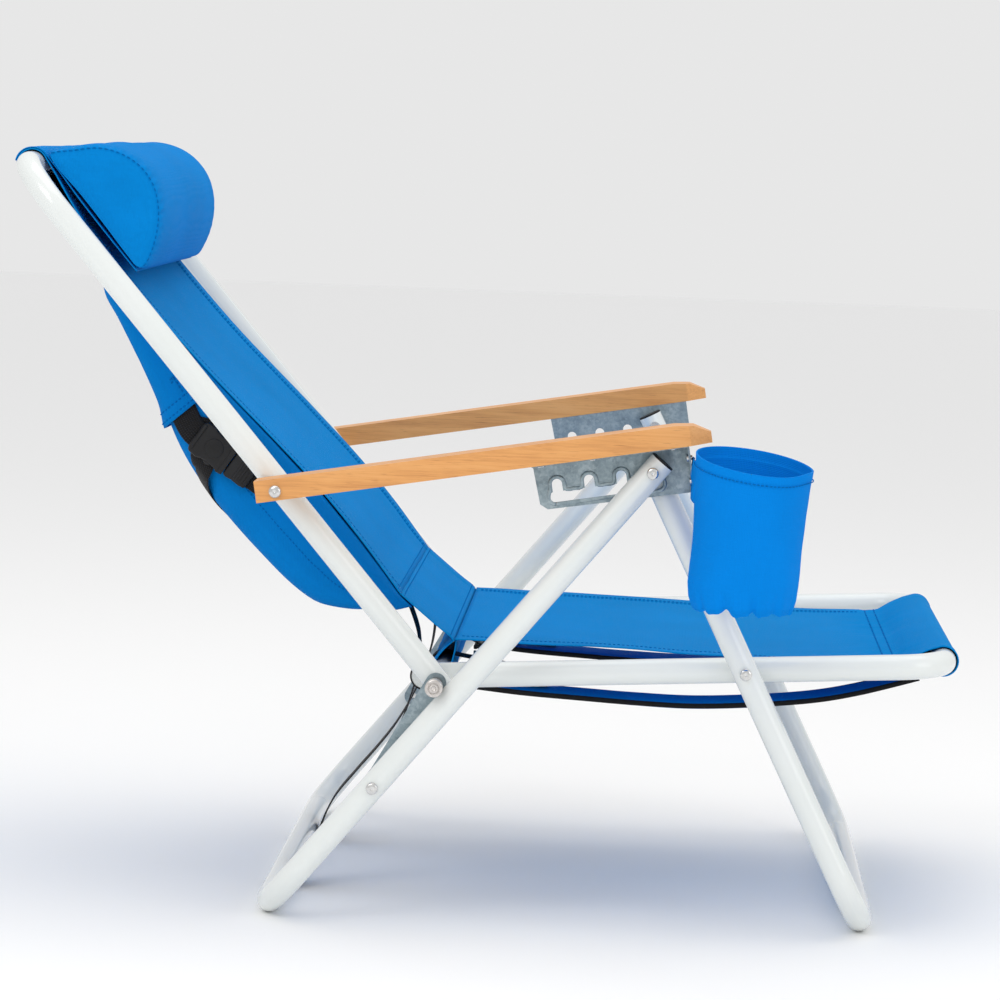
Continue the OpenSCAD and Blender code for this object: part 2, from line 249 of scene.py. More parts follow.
def fabric(name, colour, kind="UV", wrinkle=0.0, thread=0.0014):
    """Plain-weave polyester: warp and weft threads, slubs, slow colour drift and a soft sheen."""
    material, tree, shader = new_material(
        name, 0.72, Sheen_Weight=0.012, Sheen_Roughness=0.45, Sheen_Tint=(0.02, 0.4, 1.0, 1),
        Specular_IOR_Level=0.04)
    vector = coordinates(tree, 1, kind)
    per_metre = math.tau / 20 / thread
    weave = combine(tree, "MULTIPLY", *(wave_value(tree, vector, per_metre, way, 0.4) for way in "XY"))
    both_ways = ((40, 1100, 400), (1100, 40, 400))
    slubs = combine(tree, "ADD", *(noise_value(tree, cells, 3, kind=kind) for cells in both_ways))
    light = tuple(c * 1.14 + 0.004 for c in colour)
    drift = ramp(tree, noise_value(tree, 9, 5), [(0.32, scaled(colour, 0.93)), (0.68, scaled(colour, 1.05))])
    threads = ramp(tree, combine(tree, "MULTIPLY", slubs, 0.5), [(0.3, scaled(colour, 0.80)), (0.7, light)])
    height = blended(tree, (weave, 1), (slubs, 0.4))
    if wrinkle:
        height = blended(tree, (height, 1), (noise_value(tree, 26, 4, 0.6), wrinkle))
    rough = ramp(tree, slubs, [(0.6, 0.66), (1.3, 0.80)])
    finish(tree, shader, mix_colours(tree, "MIX", 0.2, drift, threads), rough, height, 0.35, 0.0006)
    return material


def powder_coat():
    """White powder coat: a fine orange peel under a clear gloss, with a little grime and a few scuffs."""
    material, tree, shader = new_material("powder_coat", 0.28, Coat_Weight=0.5, Coat_Roughness=0.07)
    grime = noise_value(tree, 9, 4, 0.5)
    clean = ramp(tree, grime, [(0.25, (0.745, 0.78, 0.765)), (0.60, (0.775, 0.805, 0.79))])
    marks = ramp(tree, noise_value(tree, (260, 260, 60), 2, 0.4), [(0.10, (0.84, 0.84, 0.82)), (0.14, 1.0)])
    rough = ramp(tree, grime, [(0.3, 0.27), (0.7, 0.20)])
    peel = noise_value(tree, 330, 2)
    finish(tree, shader, mix_colours(tree, "MULTIPLY", 0.6, clean, marks), rough, peel, 0.03, 0.0002)
    return material


def galvanised():
    """Zinc-dipped sheet: grey spangle patches, dull, with brighter rubbed flecks."""
    material, tree, shader = new_material("galvanised", 0.42, 0.9)
    cells = add(tree, "ShaderNodeTexVoronoi", Scale=420.0)
    tree.links.new(coordinates(tree, 1), cells.inputs["Vector"])
    spangle = add(tree, "ShaderNodeSeparateColor")
    tree.links.new(cells.outputs["Color"], spangle.inputs["Color"])
    mixed = blended(tree, (spangle.outputs[0], 0.14), (noise_value(tree, 85, 8, 0.72), 0.86))
    tone = ramp(
        tree, mixed, [(0.28, (0.20, 0.255, 0.285)), (0.5, (0.29, 0.36, 0.395)), (0.70, (0.40, 0.475, 0.51))])
    finish(tree, shader, tone, ramp(tree, mixed, [(0.3, 0.55), (0.7, 0.34)]), mixed, 0.25, 0.0003)
    return material


def plated(name, colour, roughness):
    """Plated steel with fine turning marks."""
    material, tree, shader = new_material(name, roughness, 1.0)
    smudge = noise_value(tree, 300, 4)
    tone = ramp(tree, smudge, [(0.3, scaled(colour, 0.78)), (0.65, colour)])
    rough = ramp(tree, smudge, [(0.3, roughness * 1.6), (0.7, roughness)])
    finish(tree, shader, tone, rough, noise_value(tree, (900, 60, 900), 2), 0.12, 0.0002)
    return material


def plastic(name, colour, roughness):
    """Moulded plastic with a fine spark-eroded grain."""
    material, tree, shader = new_material(name, roughness, Specular_IOR_Level=0.28)
    patch = noise_value(tree, 45, 4)
    tone = ramp(tree, patch, [(0.3, scaled(colour, 0.75)), (0.7, scaled(colour, 1.3))])
    rough = ramp(tree, patch, [(0.3, roughness * 1.15), (0.7, roughness * 0.85)])
    finish(tree, shader, tone, rough, noise_value(tree, 1400, 3), 0.25, 0.0003)
    return material


def webbing():
    """Black polypropylene webbing: ribs across the strap, in the strap's own U and V."""
    material, tree, shader = new_material("webbing", 0.62, Sheen_Weight=0.03, Specular_IOR_Level=0.16)
    vector = coordinates(tree, 1, "UV")
    along, over = wave_value(tree, vector, 150.0, "X", 0.3), wave_value(tree, vector, 190.0, "Y", 0.3)
    ribs = combine(tree, "MULTIPLY", along, over)
    tone = ramp(tree, ribs, [(0.1, (0.006, 0.006, 0.007)), (0.8, (0.026, 0.025, 0.026))])
    finish(tree, shader, tone, None, blended(tree, (ribs, 1), (noise_value(tree, 500, 3), 0.4)), 0.6, 0.0006)
    return material


def hardwood():
    """Oiled hardwood with its grain along the armrest, dark pores and slow bands."""
    material, tree, shader = new_material("hardwood", 0.45, Coat_Weight=0.08, Coat_Roughness=0.4)
    turn = (0, math.atan2(ARM_A.z, ARM_A.x), 0)
    bands = wave_value(tree, coordinates(tree, (1.2, 12, 26), turn=turn), 1.0, "Z", 3.0)
    fibres = noise_value(tree, (22, 750, 750), 6, 0.7, turn=turn)
    cloud = noise_value(tree, (7, 40, 40), 4, 0.6, turn=turn)
    grain = blended(tree, (bands, 0.05), (fibres, 0.45), (cloud, 0.50))
    tone = ramp(
        tree, grain, [(0.30, (0.52, 0.215, 0.062)), (0.50, (0.74, 0.345, 0.105)), (0.70, (0.83, 0.43, 0.16))])
    pores = noise_value(tree, (60, 1500, 1500), 2, 0.5, turn=turn)
    pores = ramp(tree, pores, [(0.26, (0.42, 0.30, 0.22)), (0.36, 1.0)])
    rough = ramp(tree, grain, [(0.3, 0.55), (0.7, 0.40)])
    finish(tree, shader, mix_colours(tree, "MULTIPLY", 0.55, tone, pores), rough, fibres, 0.22, 0.0005)
    return material


BLUE = (0.0008, 0.225, 0.60)
MAT = {
    "sling": fabric("sling_weave", BLUE),
    "pillow": fabric("pillow_weave", (0.0008, 0.225, 0.64), kind="Object", wrinkle=0.7),
    "bag": fabric("bag_weave", (0.0006, 0.225, 0.74), wrinkle=0.5),
    # painted shade: the pouch's blue is darker than the sling's, standing in for the shade its sides lie in
    "pouch": fabric("pouch_weave_painted_shade", (0.0008, 0.185, 0.56), kind="Object", wrinkle=0.6),
    "strap": fabric("strap_weave", (0.0008, 0.19, 0.60), wrinkle=0.4),
    "thread": fabric("thread_twist", (0.001, 0.145, 0.46), kind="Object"),
    "tube": powder_coat(),
    "zinc": galvanised(),
    "rivet": plated("rivet_steel", (0.72, 0.72, 0.71), 0.16),
    "bolt": plated("bolt_nickel", (0.70, 0.66, 0.63), 0.22),
    "grey": plastic("grey_nylon", (0.11, 0.115, 0.115), 0.5),
    "black": plastic("black_moulding", (0.012, 0.012, 0.013), 0.42),
    "web": webbing(),
    "wood": hardwood(),
}
NODE_MATERIAL = {
    "white_tube": "tube", "zinc_steel": "zinc", "steel_rivet": "rivet", "bright_bolt": "bolt",
    "grey_plastic": "grey", "black_plastic": "black", "arm_wood": "wood", "webbing": "web",
}


def dress_cad_nodes():
    """Gives each CAD node that stays visible its procedural material."""
    slots = {p["node"]: p["material_slot"] for p in frame["record"]["subparts"]}
    for name, node in frame["nodes"].items():
        key = NODE_MATERIAL.get(slots.get(name))
        if key:
            node.data.materials.clear()
            node.data.materials.append(MAT[key])


# ---------------------------------------------------------------- mesh helpers

def make_object(name, verts, faces, material, uvs=None, smooth=True):
    """A mesh object; uvs holds one (u, v) per vertex, in metres."""
    mesh = bpy.data.meshes.new(name)
    mesh.from_pydata([tuple(v) for v in verts], [], faces)
    mesh.materials.append(material)
    if uvs is not None:
        layer = mesh.uv_layers.new(name="UVMap")
        for loop in mesh.loops:
            layer.data[loop.index].uv = uvs[loop.vertex_index]
    for polygon in mesh.polygons:
        polygon.use_smooth = smooth
    thing = bpy.data.objects.new(name, mesh)
    bpy.context.scene.collection.objects.link(thing)
    return thing


def grid_faces(rows, count, closed=True):
    """Faces between rows of count points; closed joins the two ends of each row."""
    faces = []
    for i in range(rows - 1):
        for k in range(count if closed else count - 1):
            a, b = i * count + k, i * count + (k + 1) % count
            faces.append((a, b, b + count, a + count))
    return faces


def face_outwards(thing):
    """Turns every face of a closed mesh to the outside."""
    fix = bmesh.new()
    fix.from_mesh(thing.data)
    bmesh.ops.recalc_face_normals(fix, faces=fix.faces)
    fix.to_mesh(thing.data)
    fix.free()


def apply_modifiers(thing):
    """Replaces the object's mesh with what its modifiers make of it."""
    graph = bpy.context.evaluated_depsgraph_get()
    graph.update()
    mesh = bpy.data.meshes.new_from_object(thing.evaluated_get(graph))
    thing.modifiers.clear()
    thing.data = mesh
    return thing


def thicken(thing, thickness, offset=0.0):
    """Gives an open sheet a real thickness."""
    solid = thing.modifiers.new("thickness", "SOLIDIFY")
    solid.thickness = thickness
    solid.offset = offset
    solid.use_even_offset = True
    return apply_modifiers(thing)


def spline(points, step):
    """A smooth curve through the points (centripetal), with a point about every step."""
    points = [Vector(p) for p in points]
    ends = [points[0] * 2 - points[1]] + points + [points[-1] * 2 - points[-2]]
    made = []
    for k in range(1, len(ends) - 2):
        p0, p1, p2, p3 = ends[k - 1:k + 3]
        t1 = (p1 - p0).length ** 0.5
        t2 = t1 + (p2 - p1).length ** 0.5
        t3 = t2 + (p3 - p2).length ** 0.5
        count = max(1, round((p2 - p1).length / step))
        for i in range(count):
            t = t1 + (t2 - t1) * i / count
            a1 = p0 * ((t1 - t) / t1) + p1 * (t / t1)
            a2 = p1 * ((t2 - t) / (t2 - t1)) + p2 * ((t - t1) / (t2 - t1))
            a3 = p2 * ((t3 - t) / (t3 - t2)) + p3 * ((t - t2) / (t3 - t2))
            b1 = a1 * ((t2 - t) / t2) + a2 * (t / t2)
            b2 = a2 * ((t3 - t) / (t3 - t1)) + a3 * ((t - t1) / (t3 - t1))
            made.append(b1 * ((t2 - t) / (t2 - t1)) + b2 * ((t - t1) / (t2 - t1)))
    made.append(points[-1])
    return made


def lengths(line):
    """The distance along a line of points, at each point."""
    total = [0.0]
    for a, b in zip(line, line[1:]):
        total.append(total[-1] + (b - a).length)
    return total


def tangent_at(line, k):
    """The direction of a line at its k-th point."""
    return (line[min(k + 1, len(line) - 1)] - line[max(k - 1, 0)]).normalized()


def line_normals(line):
    """Normals of a side-view line, to its left as it runs."""
    found = []
    for k in range(len(line)):
        tangent = tangent_at(line, k)
        found.append(Vector((-tangent.z, 0, tangent.x)))
    return found


def bell(x, middle, width):
    """A smooth hump of height 1."""
    return math.exp(-((x - middle) / width) ** 2)


def ease(x):
    """0 to 1, flat at both ends."""
    x = min(1.0, max(0.0, x))
    return x * x * (3 - 2 * x)


def swept_sheet(name, line, half, material, lift, columns, thickness=0.0011):
    """Fabric that follows a side-view line and spans the chair in so many columns. lift(d, y) moves it
    along its normal, d being the distance along the line."""
    verts, uvs = [], []
    for d, point, normal in zip(lengths(line), line, line_normals(line)):
        for j in range(columns + 1):
            t = -1 + 2 * j / columns
            y = half * math.copysign(abs(t) ** 0.9, t)
            verts.append(point + normal * lift(d, y) + Vector((0, y, 0)))
            uvs.append((y, d))
    faces = grid_faces(len(line), columns + 1, closed=False)
    return thicken(make_object(name, verts, faces, material, uvs), thickness)


STITCH = grid_faces(4, 6) + [(5, 4, 3, 2, 1, 0), (18, 19, 20, 21, 22, 23)]


def sew(name, runs, body, slot, pitch=0.0040, length=0.0030, radius=0.00034, span=None):
    """Rows of thread as one piece: each run is a list of (point, normal), with a small rounded stitch
    per pitch."""
    proud = 0.0003
    verts, faces = [], []
    for run in runs:
        points = [p for p, _ in run]
        where = lengths(points)
        count = int(where[-1] / pitch)
        k = 0
        for i in range(count):
            middle = (i + 0.5) * pitch
            while k < len(where) - 2 and where[k + 1] < middle:
                k += 1
            t = (middle - where[k]) / max(1e-9, where[k + 1] - where[k])
            centre = points[k].lerp(points[k + 1], t)
            along = (points[k + 1] - points[k]).normalized()
            normal = run[k][1].lerp(run[k + 1][1], t).normalized()
            side = along.cross(normal).normalized()
            base = len(verts)
            for offset, size in ((-0.5, 0.35), (-0.28, 1.0), (0.28, 1.0), (0.5, 0.35)):
                rise = proud if abs(offset) < 0.4 else -radius * 0.6
                for corner in range(6):
                    angle = math.tau * corner / 6
                    verts.append(
                        centre + along * (offset * length) + normal * (rise + math.sin(angle) * radius * size)
                        + side * (math.cos(angle) * radius * size * 1.2))
            faces += [tuple(base + v for v in face) for face in STITCH]
    finish_piece(make_object(name, verts, faces, MAT["thread"]), body, slot, span=span)


def ribbon(name, line, width, thickness, material, normals=None, bulge=None):
    """A flat strap along a line of points: a closed strip with rounded edges. It lies across the chair
    unless it is given its normals; bulge(t) scales its thickness."""
    distance = lengths(line)
    section = []
    count = 12
    for k in range(count):
        angle = math.tau * k / count
        x = math.copysign(abs(math.cos(angle)) ** 0.45, math.cos(angle))
        z = math.copysign(abs(math.sin(angle)) ** 0.8, math.sin(angle))
        section.append((x * width / 2, z * thickness / 2))
    verts, uvs = [], []
    for k, point in enumerate(line):
        tangent = tangent_at(line, k)
        over = tangent.cross(normals[k]).normalized() if normals else Vector((0, 1, 0))
        normal = over.cross(tangent).normalized()
        fat = bulge(distance[k] / distance[-1]) if bulge else 1.0
        for x, z in section:
            verts.append(point + over * x + normal * (z * fat))
            uvs.append((x, distance[k]))
    last = (len(line) - 1) * count
    faces = grid_faces(len(line), count)
    faces += [tuple(range(count - 1, -1, -1)), tuple(last + c for c in range(count))]
    return make_object(name, verts, faces, material, uvs)


def outline_block(name, outline, place, depth, bevel=0.0008, segments=2):
    """A black moulded block: a flat outline pushed from -depth/2 to depth/2, with rounded edges. place
    turns (x, y, z) of the block, in millimetres, into a point of the frame."""
    count = len(outline)
    verts = [place(x, y, z) for z in (-depth / 2, depth / 2) for x, y in outline]
    faces = [tuple(range(count - 1, -1, -1)), tuple(range(count, 2 * count))]
    faces += [(k, (k + 1) % count, count + (k + 1) % count, count + k) for k in range(count)]
    thing = make_object(name, verts, faces, MAT["black"], smooth=False)
    face_outwards(thing)
    rounded = thing.modifiers.new("round", "BEVEL")
    rounded.width = bevel
    rounded.segments = segments
    rounded.limit_method = "ANGLE"
    apply_modifiers(thing)
    for polygon in thing.data.polygons:
        polygon.use_smooth = True
    return thing


def join(name, things):
    """Several meshes as one object."""
    for thing in bpy.context.view_layer.objects:
        thing.select_set(False)
    for thing in things:
        thing.select_set(True)
    bpy.context.view_layer.objects.active = things[0]
    bpy.ops.object.join()
    things[0].name = name
    things[0].data.name = name
    return things[0]


def near_line(points, y, step):
    """A smooth line through (forwards, upwards) places of the hinge's side view."""
    return spline([near_hinge(x, z, y) for x, z in points], step)


def sideways(points, y):
    """The same points moved across the chair, from millimetres."""
    return [p + across(y) for p in points]


def finish_piece(thing, body, slot, *nodes, span=None):
    """Rides on a body, or, given a span, only has its transform baked into its mesh; hides the CAD nodes it
    stands for. The slot is not used.
    """
    if span:
        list(body)
        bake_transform(thing)
    else:
        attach(thing, body)
    if nodes:
        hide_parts(*nodes)
    return thing


# ---------------------------------------------------------------- the sling

# spans of the sling over the backrest's fold, from the bend seam to a point up the back panel
BEND_SEAM, CROSS_SEAM, BACK_CLEAR = near_hinge(11.6, 28.7), back(75, 15), back(160, 17.6)
SEAT_FOLD = (near_hinge(95, 28), BEND_SEAM)
CROSS_SHARE = 0.79
LOWER_FOLD = (BEND_SEAM, BEND_SEAM + (CROSS_SEAM - BEND_SEAM) / CROSS_SHARE)
BACK_FOLD = (CROSS_SEAM - (BACK_CLEAR - CROSS_SEAM) * CROSS_SHARE / (1 - CROSS_SHARE), BACK_CLEAR)

# how far along the panels their rows of stitches are, and how far their hems reach in
FRONT_ROW, ROW_GAP = 0.377, 0.0095
BAR_ROW = 0.4235
HEM = 0.024
HEM_ROWS = (0.0205, 0.0233)
WRAP_R = TUBE_R + 0.0013


def wrap(centre, start_angle, end_angle, along, out, radius=WRAP_R, count=22):
    """Points round a bar, by angle from along towards out, in degrees."""
    made = []
    for k in range(count + 1):
        angle = math.radians(start_angle + (end_angle - start_angle) * k / count)
        made.append(centre + along * (math.cos(angle) * radius) + out * (math.sin(angle) * radius))
    return made


def seat_line():
    """The seat panel from the bend seam to the front bar, round it and back to the stitch rows."""
    bar = seat(437, 0)
    top = [BEND_SEAM, near_hinge(34, 28.6), near_hinge(60, 28), near_hinge(138, 27),
           near_hinge(230, 24.2), near_hinge(330, 21.8), seat(382, -2.2), seat(392, -2.6), seat(401, -1.6),
           seat(413, 4.6), seat(425, 9.6)]
    line = spline(top, 0.0045)
    line += wrap(bar, 100, -108, SEAT_U, SEAT_W)
    line += spline([seat(420, -10.4), seat(408, -6.4), seat(400, -4.6), seat(388, -4.4)], 0.004)
    return line


def seat_lift(d, y):
    """Sag, slow waves, gathers at the stitch rows and the folded hems of the seat panel."""
    edge = SLING_HALF - abs(y)
    free = ease(d / 0.05) * ease((FRONT_ROW - 0.015 - d) / 0.09)
    sag = -0.0035 * free * (1 - (y / SLING_HALF) ** 2)
    wave = 0.0011 * free * noise.noise(Vector((d * 16, y * 9, 1.7)))
    row = sum(bell(d, FRONT_ROW + k * ROW_GAP, 0.0026) for k in (0, 1))
    near_rows = bell(d, FRONT_ROW, 0.026) + 0.35 * bell(d, FRONT_ROW + 0.025, 0.016)
    pucker = 0.00085 * near_rows * math.sin(y * 640 + 3.2 * noise.noise(Vector((y * 60, 0.3, 0))))
    pucker *= 0.6 + 0.8 * abs(noise.noise(Vector((y * 24, 2.0, 5.0))))
    hem = 0.0007 * ease((HEM - edge) / 0.003) - 0.0004 * bell(edge, HEM, 0.0012)
    return sag + wave + pucker - 0.0009 * row + hem


# where the rows of stitches under the top bar are, in millimetres up the backrest
BACK_BAR_ROW = 498


def back_line():
    """The back panel from the cross seam up to the top bar, round it and down behind."""
    up = [CROSS_SEAM, back(100, 16.5), back(134, 17.6), back(192, 17.2), back(250, 13),
          back(300, 8.5), back(360, 4.2), back(430, 1.6), back(480, 1.4), back(BACK_BAR_ROW, 2.2),
          back(522, 5.2), back(545, 9.3)]
    line = spline(up, 0.0052)
    line += wrap(TOP_BAR, 108, -108, BACK_S, BACK_N)
    line += spline([back(545, -9.6), back(525, -6), back(BACK_BAR_ROW, -1.2), back(486, -1.4)], 0.005)
    return line


def lower_line():
    """The short panel between the bend seam and the cross seam."""
    return spline([BEND_SEAM, back(28, 23.6), back(50, 19.4), CROSS_SEAM], 0.003)


def back_lift(d, y):
    """The back panel's hollow, slow waves and folded hems. Its normal points to the rear."""
    edge = SLING_HALF - abs(y)
    free = ease(d / 0.03) * ease((0.42 - d) / 0.08)
    hollow = 0.005 * free * (1 - (y / SLING_HALF) ** 2)
    wave = 0.0012 * free * noise.noise(Vector((d * 9, y * 7, 8.3)))
    pull = 0.0008 * ease((0.46 - d) / 0.1) * math.sin(y * 46 + d * 14)
    pull *= noise.noise(Vector((d * 5, y * 5, 3)))
    hem = -0.0008 * ease((HEM - edge) / 0.003) + 0.0005 * bell(edge, 0.0245, 0.0012)
    row = 0.0009 * bell(d, BAR_ROW, 0.003)
    return hollow + wave + pull + hem + row


def lower_lift(d, y):
    """The hems and the thick bend seam of the short panel."""
    edge = SLING_HALF - abs(y)
    hem = -0.0008 * ease((HEM - edge) / 0.003)
    seam = 0.0008 * (bell(d, 0.0, 0.003) + bell(d, 0.0, 0.001))
    return seam + hem * ease(d / 0.01)


def hem_runs(line, lift, start, stop, facing):
    """Two rows of thread along each hem of a swept sheet; facing is the side of it that they show on."""
    where, normals = lengths(line), line_normals(line)
    runs = []
    for side in (-1, 1):
        for inset in HEM_ROWS:
            y = side * (SLING_HALF - inset)
            runs.append([
                (p + n * (lift(d, y) + facing * 0.0006) + Vector((0, y, 0)), n * facing)
                for p, n, d in zip(line, normals, where) if start <= d <= stop])
    return runs


def row_run(line, lift, distance, facing):
    """A row of thread across a swept sheet, at one distance along its line."""
    where, normals = lengths(line), line_normals(line)
    k = min(range(len(line)), key=lambda i: abs(where[i] - distance))
    half = SLING_HALF - 0.001
    count = int(2 * half / 0.004)
    run = []
    for i in range(count + 1):
        y = -half + 2 * half * i / count
        place = line[k] + normals[k] * lift(where[k], y) + Vector((0, y, 0))
        run.append((place + normals[k] * facing * 0.0006, normals[k] * facing))
    return run


def panel(name, line, lift, columns, rests_on, bodies, span, *nodes):
    """One stretched panel of the sling."""
    made = swept_sheet(name, line, SLING_HALF, MAT["sling"], lift, columns)
    lengths(line)[-1]
    finish_piece(made, bodies, "sling_fabric", *nodes, span=span)


def sling():
    """The seat panel, the short lower back panel, the back panel and their stitching."""
    front, rear = ("seat", "hinge_hub"), ("hinge_hub", "backrest")
    line = seat_line()
    panel("seat_panel", line, seat_lift, 150, "seat_frame", front, SEAT_FOLD, "seat_sling")
    runs = hem_runs(line, seat_lift, 0.004, FRONT_ROW - 0.002, 1)
    sew("seat_hem_stitches", runs, front, "sling_fabric", span=SEAT_FOLD)
    runs = [row_run(line, seat_lift, FRONT_ROW + k * ROW_GAP, 1) for k in (0, 1)]
    sew("seat_front_stitches", runs, "seat", "sling_fabric", 0.0036, 0.0027, 0.0005)

    line = lower_line()
    panel("lower_back_panel", line, lower_lift, 150, "seat_crossbar", rear, LOWER_FOLD)
    runs = [row_run(line, lower_lift, distance, -1) for distance in (0.0045, lengths(line)[-1] - 0.003)]
    sew("bend_seam_stitches", runs, rear, "sling_fabric", span=LOWER_FOLD)

    line = back_line()
    panel("back_panel", line, back_lift, 110, "backrest_frame", rear, BACK_FOLD, "back_sling")
    runs = hem_runs(line, back_lift, 0.002, 0.47, -1)
    runs += [row_run(line, back_lift, distance, -1) for distance in (0.003, BAR_ROW)]
    sew("back_hem_stitches", runs, rear, "sling_fabric", span=BACK_FOLD)


def sleeve():
    """The sleeve sewn under the bend seam, which the rear crossbar runs through."""
    radius = 0.0101
    around = wrap(HINGE, 157, 396, FORWARD, UP, radius, 30)
    line = spline([near_hinge(11.0, 27.6), near_hinge(1.0, 18.0), around[0]], 0.003)[:-1] + around
    line += spline([around[-1], near_hinge(10.6, 15), near_hinge(12.2, 27.2)], 0.003)[1:]
    made = swept_sheet(
        "crossbar_sleeve", line, 0.196, MAT["sling"],
        lambda d, y: 0.0006 * noise.noise(Vector((d * 40, y * 22, 5))), 70, 0.0010)
    lengths(line)[-1]
    finish_piece(made, "seat", "sling_fabric")


# ---------------------------------------------------------------- head pillow

def closed_curve(points, count):
    """A closed smooth outline through the points, resampled evenly."""
    dense = spline([Vector((a, 0, b)) for a, b in points[-2:] + points + points[:3]], 0.5)
    start = Vector((points[0][0], 0, points[0][1]))
    where = lengths(dense)
    first = min(range(len(dense)), key=lambda i: (dense[i] - start).length)
    last = max(range(first + 6, len(dense)), key=lambda i: (-(dense[i] - start).length, i))
    total = where[last] - where[first]
    made, k = [], first
    for i in range(count):
        target = where[first] + total * i / count
        while where[k + 1] < target:
            k += 1
        t = (target - where[k]) / max(1e-9, where[k + 1] - where[k])
        p = dense[k].lerp(dense[k + 1], t)
        made.append((p.x, p.z))
    return made


# slices of the pillow, as (s, n): in its middle and at its ends
PILLOW_FULL = [
    (565, 17), (555, 39), (543, 58), (525, 71.5), (506, 77.5), (486, 76.5), (466, 67), (449, 51), (438, 33),
    (434, 20), (439, 15), (452, 14.6), (484, 15.5), (520, 16), (556, 15)]
PILLOW_END = [
    (562, 18), (552, 36), (540, 54), (524, 66), (506, 72), (487, 71), (468, 62), (452, 47), (441, 31),
    (437, 20), (440, 15.5), (452, 15), (484, 16), (520, 16.5), (553, 15.5)]
PILLOW_HALF = 213
PILLOW_CORE = (498, 36)
PILLOW_END_MIDDLE = (494, 38)


def head_pillow():
    """A stuffed roll with domed ends, gathered at its end seams, and the flap it hangs from."""
    count = 132
    full, end = closed_curve(PILLOW_FULL, count), closed_curve(PILLOW_END, count)
    # shares of the half width, closer together towards the end seams
    stations = [-1.0, -0.992, -0.975, -0.95, -0.915, -0.87, -0.8, -0.7]
    stations += [-0.58 + 0.116 * k for k in range(11)] + [-s for s in reversed(stations)]
    core_s, core_n = PILLOW_CORE
    mid_s, mid_n = PILLOW_END_MIDDLE
    verts = []
    for t in stations:
        inside = 1 - abs(t)
        grow = math.sqrt(max(0.0, 1 - (1 - min(1.0, inside / 0.17)) ** 2))
        y = t * PILLOW_HALF
        for k in range(count):
            (s0, n0), (s1, n1) = end[k], full[k]
            s, n = s0 + (s1 - s0) * grow, n0 + (n1 - n0) * grow
            front = ease((n - 20) / 22)
            fold = noise.noise(Vector((k * 0.31, t * 1.5, 4)))
            pucker = (1.9 if t < 0 else 0.6) * bell(inside, 0.032, 0.03) * front * (0.4 + abs(fold))
            pucker *= math.sin(k * 1.9 + 2 * fold)
            soft = 1.6 * front * noise.noise(Vector((s * 0.018, n * 0.02, y * 0.011)))
            scale = 1 + (pucker + soft) / max(20, math.hypot(s - core_s, n - core_n))
            verts.append(back(core_s + (s - core_s) * scale, core_n + (n - core_n) * scale, y))
    rings = len(stations)
    faces = grid_faces(rings, count)
    # domed end panels: rings shrinking to the middle
    for sign, ring in ((-1, 0), (1, rings - 1)):
        previous = list(range(ring * count, (ring + 1) * count))
        for size in (0.97, 0.90, 0.78, 0.6, 0.4, 0.2):
            current = []
            dome = 4.5 * (1 - size ** 2.2) + (-1.2 if size > 0.96 else 0)
            for k in range(count):
                s, n = mid_s + (end[k][0] - mid_s) * size, mid_n + (end[k][1] - mid_n) * size
                dent = 2.2 * noise.noise(Vector((s * 0.035, n * 0.035, sign * 3.0)))
                ripple = math.sin(k * 1.1 + 2.5 * noise.noise(Vector((k * 0.2, 1, 1))))
                dent += 1.1 * bell(size, 0.9, 0.09) * ripple * (n > 24)
                current.append(len(verts))
                verts.append(back(s, n, sign * (PILLOW_HALF + dome + dent * min(1, 3 * (1 - size)))))
            for k in range(count):
                quad = (previous[k], previous[(k + 1) % count], current[(k + 1) % count], current[k])
                faces.append(quad if sign > 0 else tuple(reversed(quad)))
            previous = current
        faces.append(tuple(previous) if sign > 0 else tuple(reversed(previous)))
    thing = make_object("head_pillow_cover", verts, faces, MAT["pillow"])
    face_outwards(thing)
    thing.modifiers.new("smooth", "SUBSURF").levels = 1
    apply_modifiers(thing)
    finish_piece(thing, "pillow", "pillow_fabric", "head_pillow")

    runs = []
    for side in (-1, 1):
        run = []
        for s, n in end:
            if n > 17.5:
                out = (BACK_S * (s - mid_s) + BACK_N * (n - mid_n)).normalized()
                place = back(s, n, side * (PILLOW_HALF - 0.2)) + out * 0.0002
                run.append((place, (out + Vector((0, side, 0))).normalized()))
        runs.append(run)
    sew("pillow_stitches", runs, "pillow", "pillow_fabric", 0.0052, 0.0034, 0.0005)

    # the flap that hangs the pillow from the top bar
    line = spline([back(437, 12.4), back(470, 12.2), back(520, 13.0), back(548, 14.4)], 0.006)
    line += wrap(TOP_BAR, 96, -40, BACK_S, BACK_N, WRAP_R + 0.0024, 14)
    flap = swept_sheet(
        "pillow_flap", line, 0.2095, MAT["pillow"],
        lambda d, y: 0.0005 * noise.noise(Vector((d * 20, y * 18, 9))), 60, 0.0010)
    lengths(line)[-1]
    finish_piece(flap, "pillow", "pillow_fabric")


# ---------------------------------------------------------------- storage pouch

# the pouch: its rear line, the sling in front of it, and (half width, share of the depth) round a slice
POUCH_BACK = [
    (60, 7), (64, -2), (71, -11), (79, -21), (89, -34), (101, -46), (111, -54), (122, -59), (145, -64.5),
    (188, -68.5), (220, -69), (250, -68), (289, -63), (316, -57), (340, -50.5), (380, -40), (420, -30),
    (446, -23.5), (457, -15), (463, -3)]
SLING_REAR = [
    (60, 15.3), (75, 13.6), (100, 15.1), (134, 16.2), (192, 15.8), (250, 11.6), (300, 7.1), (360, 2.8),
    (430, 0.2), (470, 0)]
HALF_SECTION = [
    (207.5, 0), (195, 0.06), (182, 0.13), (173, 0.2), (168.8, 0.27), (167.8, 0.4), (167.2, 0.6), (166, 0.78),
    (162, 0.9), (152, 0.975), (128, 1.0), (100, 1.012), (70, 1.02), (35, 1.026), (0, 1.028)]


def pouch_depth(s):
    """How far out of the backrest's plane the rear face of the sling is, in millimetres."""
    return float(np.interp(s, *zip(*SLING_REAR)))


